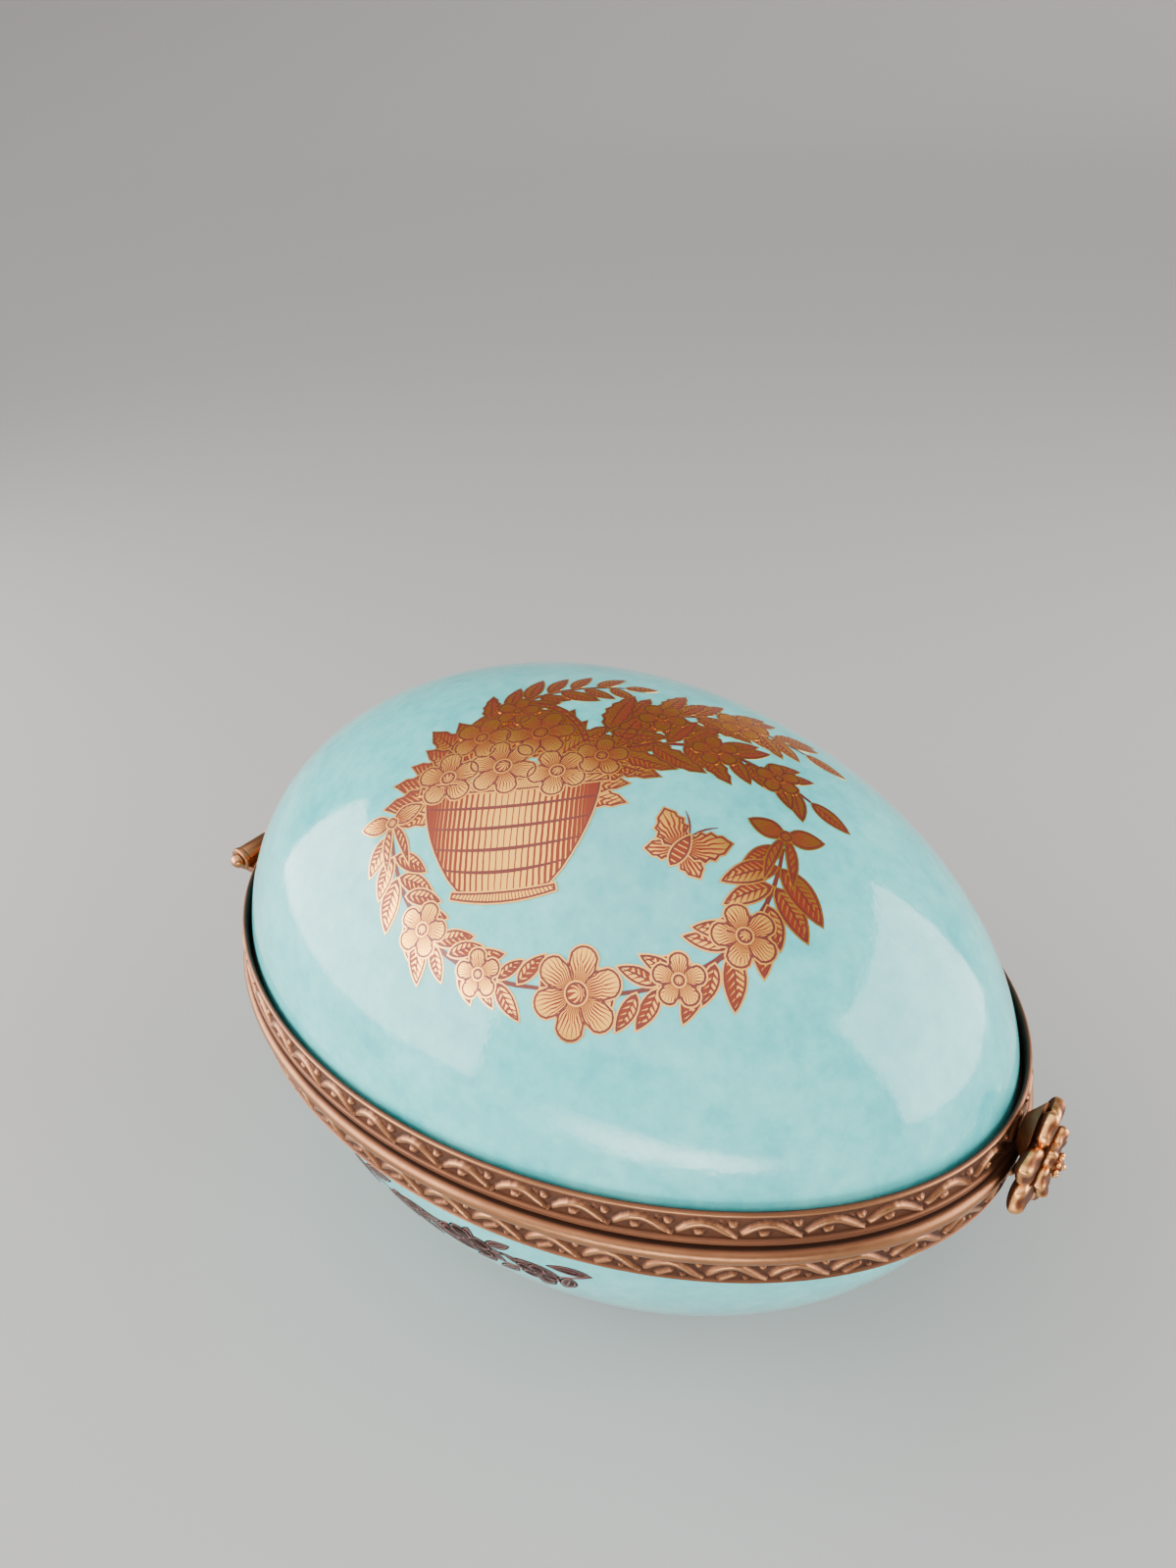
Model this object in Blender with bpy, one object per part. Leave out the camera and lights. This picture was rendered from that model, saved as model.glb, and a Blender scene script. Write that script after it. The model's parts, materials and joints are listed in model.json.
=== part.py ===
"""Egg trinket box: a glazed porcelain egg lying on its side, cut in two at a brass-mounted seam.

The lower half is a bowl with a small flat spot to stand on, and the upper half is a domed lid.
A brass rim holds the edge of each half. A pinned hinge joins the rims at the blunt end, and a
cast blossom on the lid's rim covers the seam at the narrow end.

Frame: X runs from the hinge to the blossom, Z is up, and the origin is on the flat spot under
the widest part of the egg. Sizes are in millimetres, and heights named LEVEL are measured from
the egg's widest plane.
"""
import math

import bmesh
import bpy
from mathutils import Matrix, Vector

MM = 0.001

# Egg
EGG_LENGTH = 57.0
EGG_WIDTH = 40.7
DOME_HEIGHT = 19.6
BOWL_DEPTH = 24.4
FOOT_CUT = 1.0
TAPER = 0.030
FULLNESS = -0.029
WALL = 2.4

# Seam and rims
SEAM_LEVEL = 0.18
SEAM_GAP = 0.40
LID_RIM_HEIGHT = 2.34
BASE_RIM_HEIGHT = 2.90
PORCELAIN_GAP = 0.12
RIM_WALL = 0.26
LID_BAND_STEP = 0.12
BASE_BAND_STEP = 0.18
BAND_SINK = 0.16
STRIP_HEIGHT = 0.50
TORUS_SWELL = 0.46
TORUS_HEIGHT = 1.12
HEM_HEIGHT = 0.26
SEAT_THICKNESS = 0.55
SEAT_REACH = 2.15
SEAT_GAP = 0.15
CATCH_RADIUS = 0.55
EDGE_BREAK = 0.08

# Hinge
PIN_RADIUS = 0.40
PIN_CLEARANCE = 0.08
KNUCKLE_RADIUS = 0.95
LID_KNUCKLE_LENGTH = 7.4
BASE_KNUCKLE_LENGTH = 3.6
KNUCKLE_GAP = 0.30
PIN_HEAD_RADIUS = 0.62
LEAF_THICKNESS = 0.60
LEAF_GAP = 0.12
LEAF_RISE = 3.9
LEAF_DROP = 3.5
WEB_HEIGHT = 0.60

# Blossom
BLOSSOM_RADIUS = 3.65
BLOSSOM_EDGE = 0.90
BLOSSOM_GAP = 0.25
BLOSSOM_CUP = 0.77
PETALS = 6
PETAL_NOTCH = 0.14
PETAL_CREASE = 0.28
BUTTON_RADIUS = 0.95
BUTTON_HEIGHT = 1.40
STEM_RADIUS = 0.95

# Facets
EGG_SEGMENTS = 60
EGG_RINGS = 16
TORUS_STEPS = 5
KNUCKLE_SIDES = 24
PETAL_SEGMENTS = 8
BLOSSOM_RINGS = 6
LEAF_STRIP = 1.2

# Levels and places that follow
HALF_LENGTH = EGG_LENGTH / 2
HALF_WIDTH = EGG_WIDTH / 2
WIDEST_Z = BOWL_DEPTH - FOOT_CUT
LID_RIM_FOOT = SEAM_LEVEL + SEAM_GAP / 2
LID_RIM_TOP = LID_RIM_FOOT + LID_RIM_HEIGHT
BASE_RIM_TOP = SEAM_LEVEL - SEAM_GAP / 2
BASE_RIM_FOOT = BASE_RIM_TOP - BASE_RIM_HEIGHT
LID_EDGE_LEVEL = LID_RIM_FOOT + SEAT_THICKNESS + SEAT_GAP
BASE_EDGE_LEVEL = BASE_RIM_TOP - SEAT_THICKNESS - SEAT_GAP
RIM_INNER = PORCELAIN_GAP
LIP_PROUD = RIM_INNER + RIM_WALL
LID_BAND_PROUD = LIP_PROUD + LID_BAND_STEP
STRIP_PROUD = LID_BAND_PROUD + BAND_SINK
BASE_BAND_PROUD = LIP_PROUD + BASE_BAND_STEP
HEM_PROUD = BASE_BAND_PROUD + BAND_SINK
TORUS_PROUD = BASE_BAND_PROUD + TORUS_SWELL
BORE_RADIUS = PIN_RADIUS + PIN_CLEARANCE
AXIS_PROUD = TORUS_PROUD + LEAF_GAP + KNUCKLE_RADIUS
AXIS_X = -(HALF_LENGTH + AXIS_PROUD)
AXIS_LEVEL = SEAM_LEVEL
BARREL_HALF = LID_KNUCKLE_LENGTH / 2 + KNUCKLE_GAP + BASE_KNUCKLE_LENGTH
PIVOT = Vector((AXIS_X, 0.0, AXIS_LEVEL + WIDEST_Z))


def clear_scene():
    for item in list(bpy.data.objects):
        bpy.data.objects.remove(item, do_unlink=True)


def make_material(name, colour, roughness, metallic):
    material = bpy.data.materials.new(name)
    material.use_nodes = True
    shader = material.node_tree.nodes["Principled BSDF"]
    shader.inputs["Base Color"].default_value = (*colour, 1.0)
    shader.inputs["Roughness"].default_value = roughness
    shader.inputs["Metallic"].default_value = metallic
    return material


def taper_at(share):
    """Width factor at a share of the half length, negative toward the hinge."""
    return 1.0 - TAPER * share + FULLNESS * share * share


def taper_slope(share):
    return -TAPER + 2.0 * FULLNESS * share


def oval_point(angle, proud):
    """Point of the egg's widest outline, moved outward along its normal."""
    share = math.cos(angle)
    rise = math.sin(angle)
    run_x = -HALF_LENGTH * rise
    run_y = HALF_WIDTH * (share * taper_at(share) - rise * rise * taper_slope(share))
    length = math.hypot(run_x, run_y)
    x = HALF_LENGTH * share + proud * run_y / length
    y = HALF_WIDTH * rise * taper_at(share) - proud * run_x / length
    return x, y


def oval_x(y, proud, side):
    """X of the moved outline where it crosses y, at the narrow end (side 1) or the blunt end (-1)."""
    low = 0.0
    high = math.pi / 2
    for _ in range(40):
        middle = (low + high) / 2
        angle = middle if side > 0 else math.pi - middle
        if oval_point(angle, proud)[1] < abs(y):
            low = middle
        else:
            high = middle
    angle = low if side > 0 else math.pi - low
    return oval_point(angle, proud)[0]


def add_object(name, bm, material, pivot=None):
    """Turn millimetres into a named object in metres, with its origin on the pivot if it has one."""
    origin = Vector((0.0, 0.0, 0.0)) if pivot is None else pivot.location / MM
    bmesh.ops.recalc_face_normals(bm, faces=bm.faces)
    bmesh.ops.translate(bm, vec=-origin, verts=bm.verts)
    bmesh.ops.scale(bm, vec=(MM, MM, MM), verts=bm.verts)
    mesh = bpy.data.meshes.new(name)
    bm.to_mesh(mesh)
    bm.free()
    mesh.shade_smooth()
    mesh.set_sharp_from_angle(angle=math.radians(35.0))
    item = bpy.data.objects.new(name, mesh)
    bpy.context.scene.collection.objects.link(item)
    if material is not None:
        mesh.materials.append(material)
    if pivot is not None:
        item.parent = pivot
    return item


def make_pivot(name, place):
    pivot = bpy.data.objects.new(name, None)
    pivot.location = place * MM
    bpy.context.scene.collection.objects.link(pivot)
    return pivot


def combine(item, name, bm, operation, pivot=None):
    """Join or cut with a hidden helper solid."""
    tool = add_object(name, bm, None, pivot)
    tool.hide_render = True
    tool.display_type = "WIRE"
    modifier = item.modifiers.new(name, "BOOLEAN")
    modifier.operation = operation
    modifier.solver = "EXACT"
    modifier.object = tool


def egg_surface(half_length, half_width, height):
    """Closed egg about the X axis, as a tapered sphere with its poles up and down."""
    bm = bmesh.new()
    bmesh.ops.create_uvsphere(bm, u_segments=EGG_SEGMENTS, v_segments=EGG_RINGS, radius=1.0)
    for vert in bm.verts:
        factor = taper_at(vert.co.x)
        vert.co.x *= half_length
        vert.co.y *= half_width * factor
        vert.co.z *= height * factor
    return bm


def cut_egg(bm, level, keep_up):
    """Keep the part of the surface above or below a level."""
    bmesh.ops.bisect_plane(
        bm,
        geom=bm.verts[:] + bm.edges[:] + bm.faces[:],
        plane_co=(0.0, 0.0, level),
        plane_no=(0.0, 0.0, 1.0),
        clear_inner=keep_up,
        clear_outer=not keep_up,
    )


def egg_shell(height, level, keep_up, foot_level=None):
    """Half an egg with a wall, open at the level, and cut flat at the foot if it has one."""
    bm = egg_surface(HALF_LENGTH, HALF_WIDTH, height)
    cut_egg(bm, level, keep_up)
    if foot_level is not None:
        cut_egg(bm, foot_level, True)
        rim = [e for e in bm.edges if e.is_boundary and e.verts[0].co.z < (level + foot_level) / 2]
        bmesh.ops.holes_fill(bm, edges=rim, sides=0)
    lining = egg_surface(HALF_LENGTH - WALL, HALF_WIDTH - WALL, height - WALL)
    cut_egg(lining, level, keep_up)
    bmesh.ops.reverse_faces(lining, faces=lining.faces)
    joined = bpy.data.meshes.new("lining")
    lining.to_mesh(joined)
    lining.free()
    bm.from_mesh(joined)
    bpy.data.meshes.remove(joined)
    bmesh.ops.bridge_loops(bm, edges=[e for e in bm.edges if e.is_boundary])
    bmesh.ops.translate(bm, vec=(0.0, 0.0, WIDEST_Z), verts=bm.verts)
    return bm


def rim_band(profile):
    """Sweep a closed profile of (proud, level) points round the egg's widest outline."""
    bm = bmesh.new()
    reach = HALF_LENGTH
    corners = [bm.verts.new((reach + proud, 0.0, level)) for proud, level in profile]
    ring = [bm.edges.new((corners[i - 1], corners[i])) for i in range(len(corners))]
    bmesh.ops.spin(
        bm,
        geom=corners + ring,
        cent=(0.0, 0.0, 0.0),
        axis=(0.0, 0.0, 1.0),
        angle=math.tau,
        steps=EGG_SEGMENTS,
        use_merge=True,
    )
    for vert in bm.verts:
        proud = math.hypot(vert.co.x, vert.co.y) - reach
        angle = math.atan2(vert.co.y, vert.co.x)
        vert.co.x, vert.co.y = oval_point(angle, proud)
        vert.co.z += WIDEST_Z
    return bm


def lid_rim_profile():
    """Seat under the porcelain, plain strip, sunk band and lip, from the inside edge round."""
    strip_top = LID_RIM_FOOT + STRIP_HEIGHT
    lip_foot = LID_RIM_TOP - RIM_WALL
    return [
        (-SEAT_REACH, LID_RIM_FOOT),
        (STRIP_PROUD - EDGE_BREAK, LID_RIM_FOOT),
        (STRIP_PROUD, LID_RIM_FOOT + EDGE_BREAK),
        (STRIP_PROUD, strip_top - EDGE_BREAK),
        (LID_BAND_PROUD, strip_top),
        (LIP_PROUD, lip_foot - EDGE_BREAK),
        (LIP_PROUD + EDGE_BREAK, lip_foot),
        (LIP_PROUD, LID_RIM_TOP),
        (RIM_INNER, LID_RIM_TOP),
        (RIM_INNER, LID_RIM_FOOT + SEAT_THICKNESS),
        (-SEAT_REACH, LID_RIM_FOOT + SEAT_THICKNESS),
    ]


def base_rim_profile():
    """Seat over the porcelain, round moulding, sunk band and hem, from the inside edge round."""
    points = [(-SEAT_REACH, BASE_RIM_TOP)]
    for step in range(TORUS_STEPS + 1):
        turn = math.pi * step / TORUS_STEPS
        drop = TORUS_HEIGHT * (1.0 - math.cos(turn)) / 2
        points.append((BASE_BAND_PROUD + TORUS_SWELL * math.sin(turn), BASE_RIM_TOP - drop))
    points += [
        (BASE_BAND_PROUD, BASE_RIM_FOOT + HEM_HEIGHT + EDGE_BREAK),
        (HEM_PROUD, BASE_RIM_FOOT + HEM_HEIGHT - EDGE_BREAK),
        (HEM_PROUD - EDGE_BREAK, BASE_RIM_FOOT),
        (RIM_INNER, BASE_RIM_FOOT),
        (RIM_INNER, BASE_RIM_TOP - SEAT_THICKNESS),
        (-SEAT_REACH, BASE_RIM_TOP - SEAT_THICKNESS),
    ]
    return points


def slab(outline, inner_x, outer_x):
    """Plate with a (y, level) outline whose back and front follow two curves of y."""
    bm = bmesh.new()
    corners = [bm.verts.new((0.0, y, level)) for y, level in outline]
    bm.faces.new(corners)
    span = max(abs(y) for y, _ in outline)
    steps = math.ceil(span / LEAF_STRIP)
    cuts = {round(y, 3) for y, _ in outline} | {round(span * i / steps, 3) for i in range(-steps, steps + 1)}
    for cut in sorted(cuts):
        bmesh.ops.bisect_plane(
            bm,
            geom=bm.verts[:] + bm.edges[:] + bm.faces[:],
            dist=0.01,
            plane_co=(0.0, cut, 0.0),
            plane_no=(0.0, 1.0, 0.0),
        )
    back = list(bm.verts)
    made = bmesh.ops.extrude_face_region(bm, geom=list(bm.faces))
    front = [part for part in made["geom"] if isinstance(part, bmesh.types.BMVert)]
    for vert in back:
        vert.co.x = inner_x(vert.co.y)
    for vert in front:
        vert.co.x = outer_x(vert.co.y)
    bmesh.ops.triangulate(bm, faces=bm.faces)
    bmesh.ops.translate(bm, vec=(0.0, 0.0, WIDEST_Z), verts=bm.verts)
    return bm


def rod(radius, y_from, y_to):
    """Solid cylinder along the hinge axis."""
    bm = bmesh.new()
    bmesh.ops.create_cone(
        bm,
        cap_ends=True,
        segments=KNUCKLE_SIDES,
        radius1=radius,
        radius2=radius,
        depth=y_to - y_from,
        matrix=Matrix.Rotation(math.radians(90.0), 4, "X"),
    )
    bmesh.ops.translate(bm, vec=PIVOT + Vector((0.0, (y_from + y_to) / 2, 0.0)), verts=bm.verts)
    return bm


def scallops(half_width, shoulder, crest, direction):
    """Leaf outline of three lobes a side, from one corner over the crest to the other."""
    side = [
        (1.00, 0.00),
        (1.00, 0.10),
        (0.85, 0.34),
        (0.76, 0.48),
        (0.75, 0.68),
        (0.66, 0.82),
        (0.50, 0.80),
        (0.42, 0.72),
        (0.36, 0.88),
        (0.22, 0.95),
        (0.12, 0.90),
        (0.00, 1.00),
    ]
    rise = (crest - shoulder) * direction
    right = [(y * half_width, shoulder + share * abs(rise) * direction) for y, share in side]
    left = [(-y, level) for y, level in reversed(right[:-1])]
    return right + left


def block(y_from, y_to, low, high):
    return [(y_from, low), (y_to, low), (y_to, high), (y_from, high)]


def make_porcelain(glaze, lid):
    add_object("lid_porcelain", egg_shell(DOME_HEIGHT, LID_EDGE_LEVEL, True), glaze, lid)
    foot = FOOT_CUT - BOWL_DEPTH
    add_object("base_porcelain", egg_shell(BOWL_DEPTH, BASE_EDGE_LEVEL, False, foot), glaze)


def make_rims(brass, lid):
    add_object("lid_rim", rim_band(lid_rim_profile()), brass, lid)
    rim = add_object("base_rim", rim_band(base_rim_profile()), brass)
    bead = bmesh.new()
    bmesh.ops.create_icosphere(bead, subdivisions=2, radius=CATCH_RADIUS)
    level = (BASE_RIM_TOP - TORUS_HEIGHT + BASE_RIM_FOOT + HEM_HEIGHT) / 2
    place = Vector((HALF_LENGTH + BASE_BAND_PROUD, 0.0, level + WIDEST_Z))
    bmesh.ops.translate(bead, vec=place, verts=bead.verts)
    combine(rim, "catch_bead", bead, "UNION")


def make_lid_leaf(brass, lid):
    half = LID_KNUCKLE_LENGTH / 2
    back = STRIP_PROUD + LEAF_GAP
    front = back + LEAF_THICKNESS
    outline = scallops(BARREL_HALF, LID_RIM_FOOT, LEAF_RISE, 1.0)
    plate = slab(outline, lambda y: oval_x(y, back, -1), lambda y: oval_x(y, front, -1))
    leaf = add_object("hinge_leaf_lid", plate, brass, lid)
    low = LID_RIM_FOOT + LEAF_GAP
    web = slab(
        block(LEAF_GAP - half, half - LEAF_GAP, low, low + WEB_HEIGHT),
        lambda y: oval_x(y, (back + front) / 2, -1),
        lambda y: AXIS_X,
    )
    combine(leaf, "lid_leaf_web", web, "UNION", lid)
    combine(leaf, "lid_knuckle", rod(KNUCKLE_RADIUS, -half, half), "UNION", lid)
    combine(leaf, "lid_knuckle_bore", rod(BORE_RADIUS, -half - 1.0, half + 1.0), "DIFFERENCE", lid)


def make_base_leaf(brass):
    inner = LID_KNUCKLE_LENGTH / 2 + KNUCKLE_GAP
    back = TORUS_PROUD + LEAF_GAP
    front = back + LEAF_THICKNESS
    notch = AXIS_LEVEL - KNUCKLE_RADIUS - KNUCKLE_GAP
    outline = scallops(BARREL_HALF, BASE_RIM_TOP, -LEAF_DROP, -1.0)
    plate = slab(outline, lambda y: oval_x(y, back, -1), lambda y: oval_x(y, front, -1))
    leaf = add_object("hinge_leaf_base", plate, brass)
    gap = slab(
        block(-inner, inner, notch, AXIS_LEVEL),
        lambda y: oval_x(y, back, -1) + LEAF_THICKNESS,
        lambda y: oval_x(y, front, -1) - LEAF_THICKNESS,
    )
    combine(leaf, "lid_knuckle_room", gap, "DIFFERENCE")
    high = BASE_RIM_TOP - LEAF_GAP
    for side in (-1.0, 1.0):
        ends = sorted((side * inner, side * BARREL_HALF))
        web = slab(
            block(ends[0] + LEAF_GAP, ends[1] - LEAF_GAP, high - WEB_HEIGHT, high),
            lambda y: oval_x(y, (back + front) / 2, -1),
            lambda y: AXIS_X,
        )
        hand = "near" if side < 0 else "far"
        combine(leaf, "base_leaf_web_" + hand, web, "UNION")
        combine(leaf, "base_knuckle_" + hand, rod(KNUCKLE_RADIUS, *ends), "UNION")
    combine(leaf, "base_knuckle_bore", rod(BORE_RADIUS, -BARREL_HALF - 1.0, BARREL_HALF + 1.0), "DIFFERENCE")


def turned(points, axis, segments):
    """Closed solid turned about an axis from a line of points whose two ends lie on it."""
    bm = bmesh.new()
    line = [bm.verts.new(point) for point in points]
    edges = [bm.edges.new(pair) for pair in zip(line, line[1:])]
    bmesh.ops.spin(
        bm,
        geom=line + edges,
        cent=(0.0, 0.0, 0.0),
        axis=axis,
        angle=math.tau,
        steps=segments,
        use_merge=True,
    )
    bmesh.ops.remove_doubles(bm, verts=bm.verts, dist=0.001)
    return bm


def make_pin(brass):
    """Pin with a domed head at each end."""
    seat = BARREL_HALF + PIN_CLEARANCE
    end = []
    for turn in (0.0, math.radians(35.0), math.radians(65.0), math.radians(90.0)):
        end.append((PIN_HEAD_RADIUS * math.sin(turn), -seat - PIN_HEAD_RADIUS * math.cos(turn), 0.0))
    end.append((PIN_RADIUS, -seat, 0.0))
    other = [(radius, -y, 0.0) for radius, y, _ in reversed(end)]
    bm = turned(end + other, (0.0, 1.0, 0.0), KNUCKLE_SIDES // 2)
    bmesh.ops.translate(bm, vec=PIVOT, verts=bm.verts)
    add_object("hinge_pin", bm, brass)


def blossom_height(share, angle):
    """How far the blossom's face stands above its back at a share of its radius."""
    between = (1.0 - math.cos(PETALS * angle)) / 2
    cup = BLOSSOM_EDGE + BLOSSOM_CUP * math.sin(math.pi * share) ** 2
    button = BUTTON_HEIGHT * math.exp(-((share * BLOSSOM_RADIUS / BUTTON_RADIUS) ** 2))
    return cup * (1.0 - PETAL_CREASE * share * between) + button


def make_blossom(brass, lid):
    """Cast six-petalled blossom on a stem, bent to follow the rim behind it."""
    proud = TORUS_PROUD + BLOSSOM_GAP
    radii = [BLOSSOM_RADIUS * ring / BLOSSOM_RINGS for ring in range(BLOSSOM_RINGS + 1)]
    line = [(0.0, 0.0, 0.0)] + [(radii[-1], 0.0, 0.0)] + [(r, 0.0, BLOSSOM_EDGE) for r in reversed(radii)]
    bm = turned(line, (0.0, 0.0, 1.0), PETALS * PETAL_SEGMENTS)
    for vert in bm.verts:
        share = math.hypot(vert.co.x, vert.co.y) / BLOSSOM_RADIUS
        angle = math.atan2(vert.co.y, vert.co.x)
        notch = PETAL_NOTCH * (1.0 - abs(math.cos(PETALS * angle / 2)) ** 0.6)
        depth = blossom_height(share, angle) if vert.co.z > 0.0 else 0.0
        across = vert.co.x * (1.0 - notch * share)
        along = vert.co.y * (1.0 - notch * share)
        vert.co = Vector((oval_x(across, proud, 1) + depth, across, along + WIDEST_Z))
    blossom = add_object("clasp_blossom", bm, brass, lid)
    start = STRIP_PROUD + LEAF_GAP
    end = proud + BLOSSOM_EDGE / 2
    stem = bmesh.new()
    bmesh.ops.create_cone(
        stem,
        cap_ends=True,
        segments=KNUCKLE_SIDES // 2,
        radius1=STEM_RADIUS,
        radius2=STEM_RADIUS,
        depth=end - start,
        matrix=Matrix.Rotation(math.radians(90.0), 4, "Y"),
    )
    level = (LID_RIM_FOOT + LID_RIM_TOP) / 2
    place = Vector((HALF_LENGTH + (start + end) / 2, 0.0, level + WIDEST_Z))
    bmesh.ops.translate(stem, vec=place, verts=stem.verts)
    combine(blossom, "blossom_stem", stem, "UNION", lid)


def build():
    clear_scene()
    glaze = make_material("turquoise_glaze", (0.33, 0.66, 0.65), 0.12, 0.0)
    brass = make_material("old_brass", (0.55, 0.32, 0.18), 0.38, 1.0)
    gilt = make_material("gilt_brass", (0.78, 0.48, 0.24), 0.28, 1.0)
    lid = make_pivot("lid_pivot", PIVOT)
    make_porcelain(glaze, lid)
    make_rims(brass, lid)
    make_lid_leaf(brass, lid)
    make_base_leaf(brass)
    make_pin(brass)
    make_blossom(gilt, lid)


build()
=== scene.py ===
"""Looks of the egg trinket box: glazed shells, chased brass mounts and fired gilding.

Lengths are in millimetres until a piece is finished, when it is scaled to metres. Heights named
LEVEL are measured from the egg's widest plane, and PROUD is a distance out from its outline.
"""

import json
import math
import random

import bmesh
import bpy
from mathutils import Matrix, Vector


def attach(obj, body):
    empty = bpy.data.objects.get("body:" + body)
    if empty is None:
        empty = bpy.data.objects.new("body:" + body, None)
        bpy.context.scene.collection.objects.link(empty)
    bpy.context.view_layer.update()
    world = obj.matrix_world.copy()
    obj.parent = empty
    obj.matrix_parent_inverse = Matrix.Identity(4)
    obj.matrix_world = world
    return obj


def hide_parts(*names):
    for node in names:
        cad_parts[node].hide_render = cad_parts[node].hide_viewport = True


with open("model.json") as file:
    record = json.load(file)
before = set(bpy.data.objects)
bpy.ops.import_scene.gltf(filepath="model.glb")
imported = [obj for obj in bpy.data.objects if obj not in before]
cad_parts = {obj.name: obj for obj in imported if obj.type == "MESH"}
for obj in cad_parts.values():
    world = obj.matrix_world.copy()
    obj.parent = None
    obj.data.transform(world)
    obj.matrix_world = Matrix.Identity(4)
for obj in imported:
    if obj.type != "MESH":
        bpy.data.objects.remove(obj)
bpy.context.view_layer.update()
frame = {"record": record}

MM = 0.001
X_AXIS = Vector((1.0, 0.0, 0.0))
Y_AXIS = Vector((0.0, 1.0, 0.0))
Z_AXIS = Vector((0.0, 0.0, 1.0))

# Egg
HALF_LENGTH = 28.5
HALF_WIDTH = 20.35
DOME_HEIGHT = 19.6
BOWL_DEPTH = 24.4
WIDEST_Z = 23.4
TAPER = 0.030
FULLNESS = -0.029
WALL = 2.4
LID_EDGE_LEVEL = 1.08
BASE_EDGE_LEVEL = -0.72
GLAZE_SEGMENTS = 240
GLAZE_RINGS = 96

# Rims
LID_RIM_FOOT = 0.38
LID_RIM_TOP = 2.72
BASE_RIM_TOP = -0.02
BASE_RIM_FOOT = -2.92
RIM_INNER = 0.12
SEAT_REACH = 2.15
SEAT_THICKNESS = 0.55
LIP_PROUD = 0.38
LID_BAND_PROUD = 0.50
STRIP_PROUD = 0.66
STRIP_TOP = 0.78
BASE_BAND_PROUD = 0.56
HEM_PROUD = 0.72
TORUS_SWELL = 0.46
TORUS_HEIGHT = 1.12
TORUS_STEPS = 12
BAND_ROWS = 15
WAVES = 46
WAVE_STEPS = 34
LID_WAVE_SHIFT = 0.29
LID_WAVE_STRETCH = 1.0
BASE_WAVE_SHIFT = -0.19
BASE_WAVE_STRETCH = 1.12
RELIEF_HEIGHT = 0.25
GROUND_SINK = 0.06
CATCH_RADIUS = 0.55

# Hinge
HINGE = frame["record"]["behaviour"]["joints"][0]
PIVOT = Vector(HINGE["pos_m"]) / MM
PIN_RADIUS = 0.40
BORE_RADIUS = 0.48
KNUCKLE_RADIUS = 0.95
LID_KNUCKLE_HALF = 3.7
KNUCKLE_GAP = 0.30
BARREL_HALF = 7.6
BARREL_SEGMENTS = 48
PIN_SEGMENTS = 32
PIN_HEAD_RADIUS = 0.62
PIN_HEAD_GAP = 0.08
LEAF_THICKNESS = 0.60
LEAF_GAP = 0.12
LEAF_RISE = 3.9
LEAF_DROP = -3.5
WEB_HEIGHT = 0.60
WEB_OVERLAP = 0.5
LEAF_GRID = 0.24
PLATE_ROUND = 0.14
PLATE_RELIEF = 0.16
FAN_RIBS = 15.0

# Blossom
BLOSSOM_RADIUS = 3.65
BLOSSOM_PROUD = 1.27
PETALS = 6
OUTER_TURN = math.radians(-90.0)
LOBE_TURNS = 9.5
STEM_RADIUS = 0.95
CALYX_RADIUS = 1.95
BEADS = 8
BEAD_CIRCLE = 0.58
# Petals as (half length, half width, thickness, distance from the middle, height, tilt)
OUTER_PETAL = (1.38, 1.16, 0.78, BLOSSOM_RADIUS - 1.41, 0.80, 0.06)
INNER_PETAL = (0.92, 0.74, 0.62, 1.30, 1.34, 0.22)

# Stage
FLOOR_RADIUS = 900.0
BACKDROP_RISE = 500.0
SMOOTH = {"interpolation_type": "SMOOTHSTEP"}


def taper_at(share):
    """Width factor at a share of the half length, negative toward the hinge."""
    return 1.0 - TAPER * share + FULLNESS * share * share


def taper_slope(share):
    return -TAPER + 2.0 * FULLNESS * share


def oval_point(angle, proud):
    """Point of the egg's widest outline, moved outward along its normal."""
    share = math.cos(angle)
    rise = math.sin(angle)
    run_x = -HALF_LENGTH * rise
    run_y = HALF_WIDTH * (share * taper_at(share) - rise * rise * taper_slope(share))
    length = math.hypot(run_x, run_y)
    x = HALF_LENGTH * share + proud * run_y / length
    y = HALF_WIDTH * rise * taper_at(share) - proud * run_x / length
    return x, y


def oval_x(y, proud, side):
    """X of the moved outline where it crosses y, at the narrow end (side 1) or the blunt end (-1)."""
    low = 0.0
    high = math.pi / 2
    for _ in range(30):
        middle = (low + high) / 2
        angle = middle if side > 0 else math.pi - middle
        if oval_point(angle, proud)[1] < abs(y):
            low = middle
        else:
            high = middle
    return oval_point(low if side > 0 else math.pi - low, proud)[0]


def egg_level(point):
    """Below zero inside the egg, above zero outside it."""
    share = point.x / HALF_LENGTH
    factor = taper_at(share)
    height = DOME_HEIGHT if point.z > 0.0 else BOWL_DEPTH
    return share ** 2 + (point.y / (HALF_WIDTH * factor)) ** 2 + (point.z / (height * factor)) ** 2 - 1.0


def egg_normal(point):
    step = 0.01
    here = egg_level(point)
    slope = [egg_level(point + axis * step) - here for axis in (X_AXIS, Y_AXIS, Z_AXIS)]
    return Vector(slope).normalized()


def egg_hit(origin, ray, guess):
    """Where a ray from inside the egg meets its surface, from a first guess of its length."""
    reach = guess
    step = 0.01
    for _ in range(5):
        here = egg_level(origin + ray * reach)
        slope = (egg_level(origin + ray * (reach + step)) - here) / step
        reach -= here / slope
    return origin + ray * reach


def ramp(value, low, high):
    """Smooth step from 0 at low to 1 at high."""
    share = min(max((value - low) / (high - low), 0.0), 1.0)
    return share * share * (3.0 - 2.0 * share)


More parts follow.
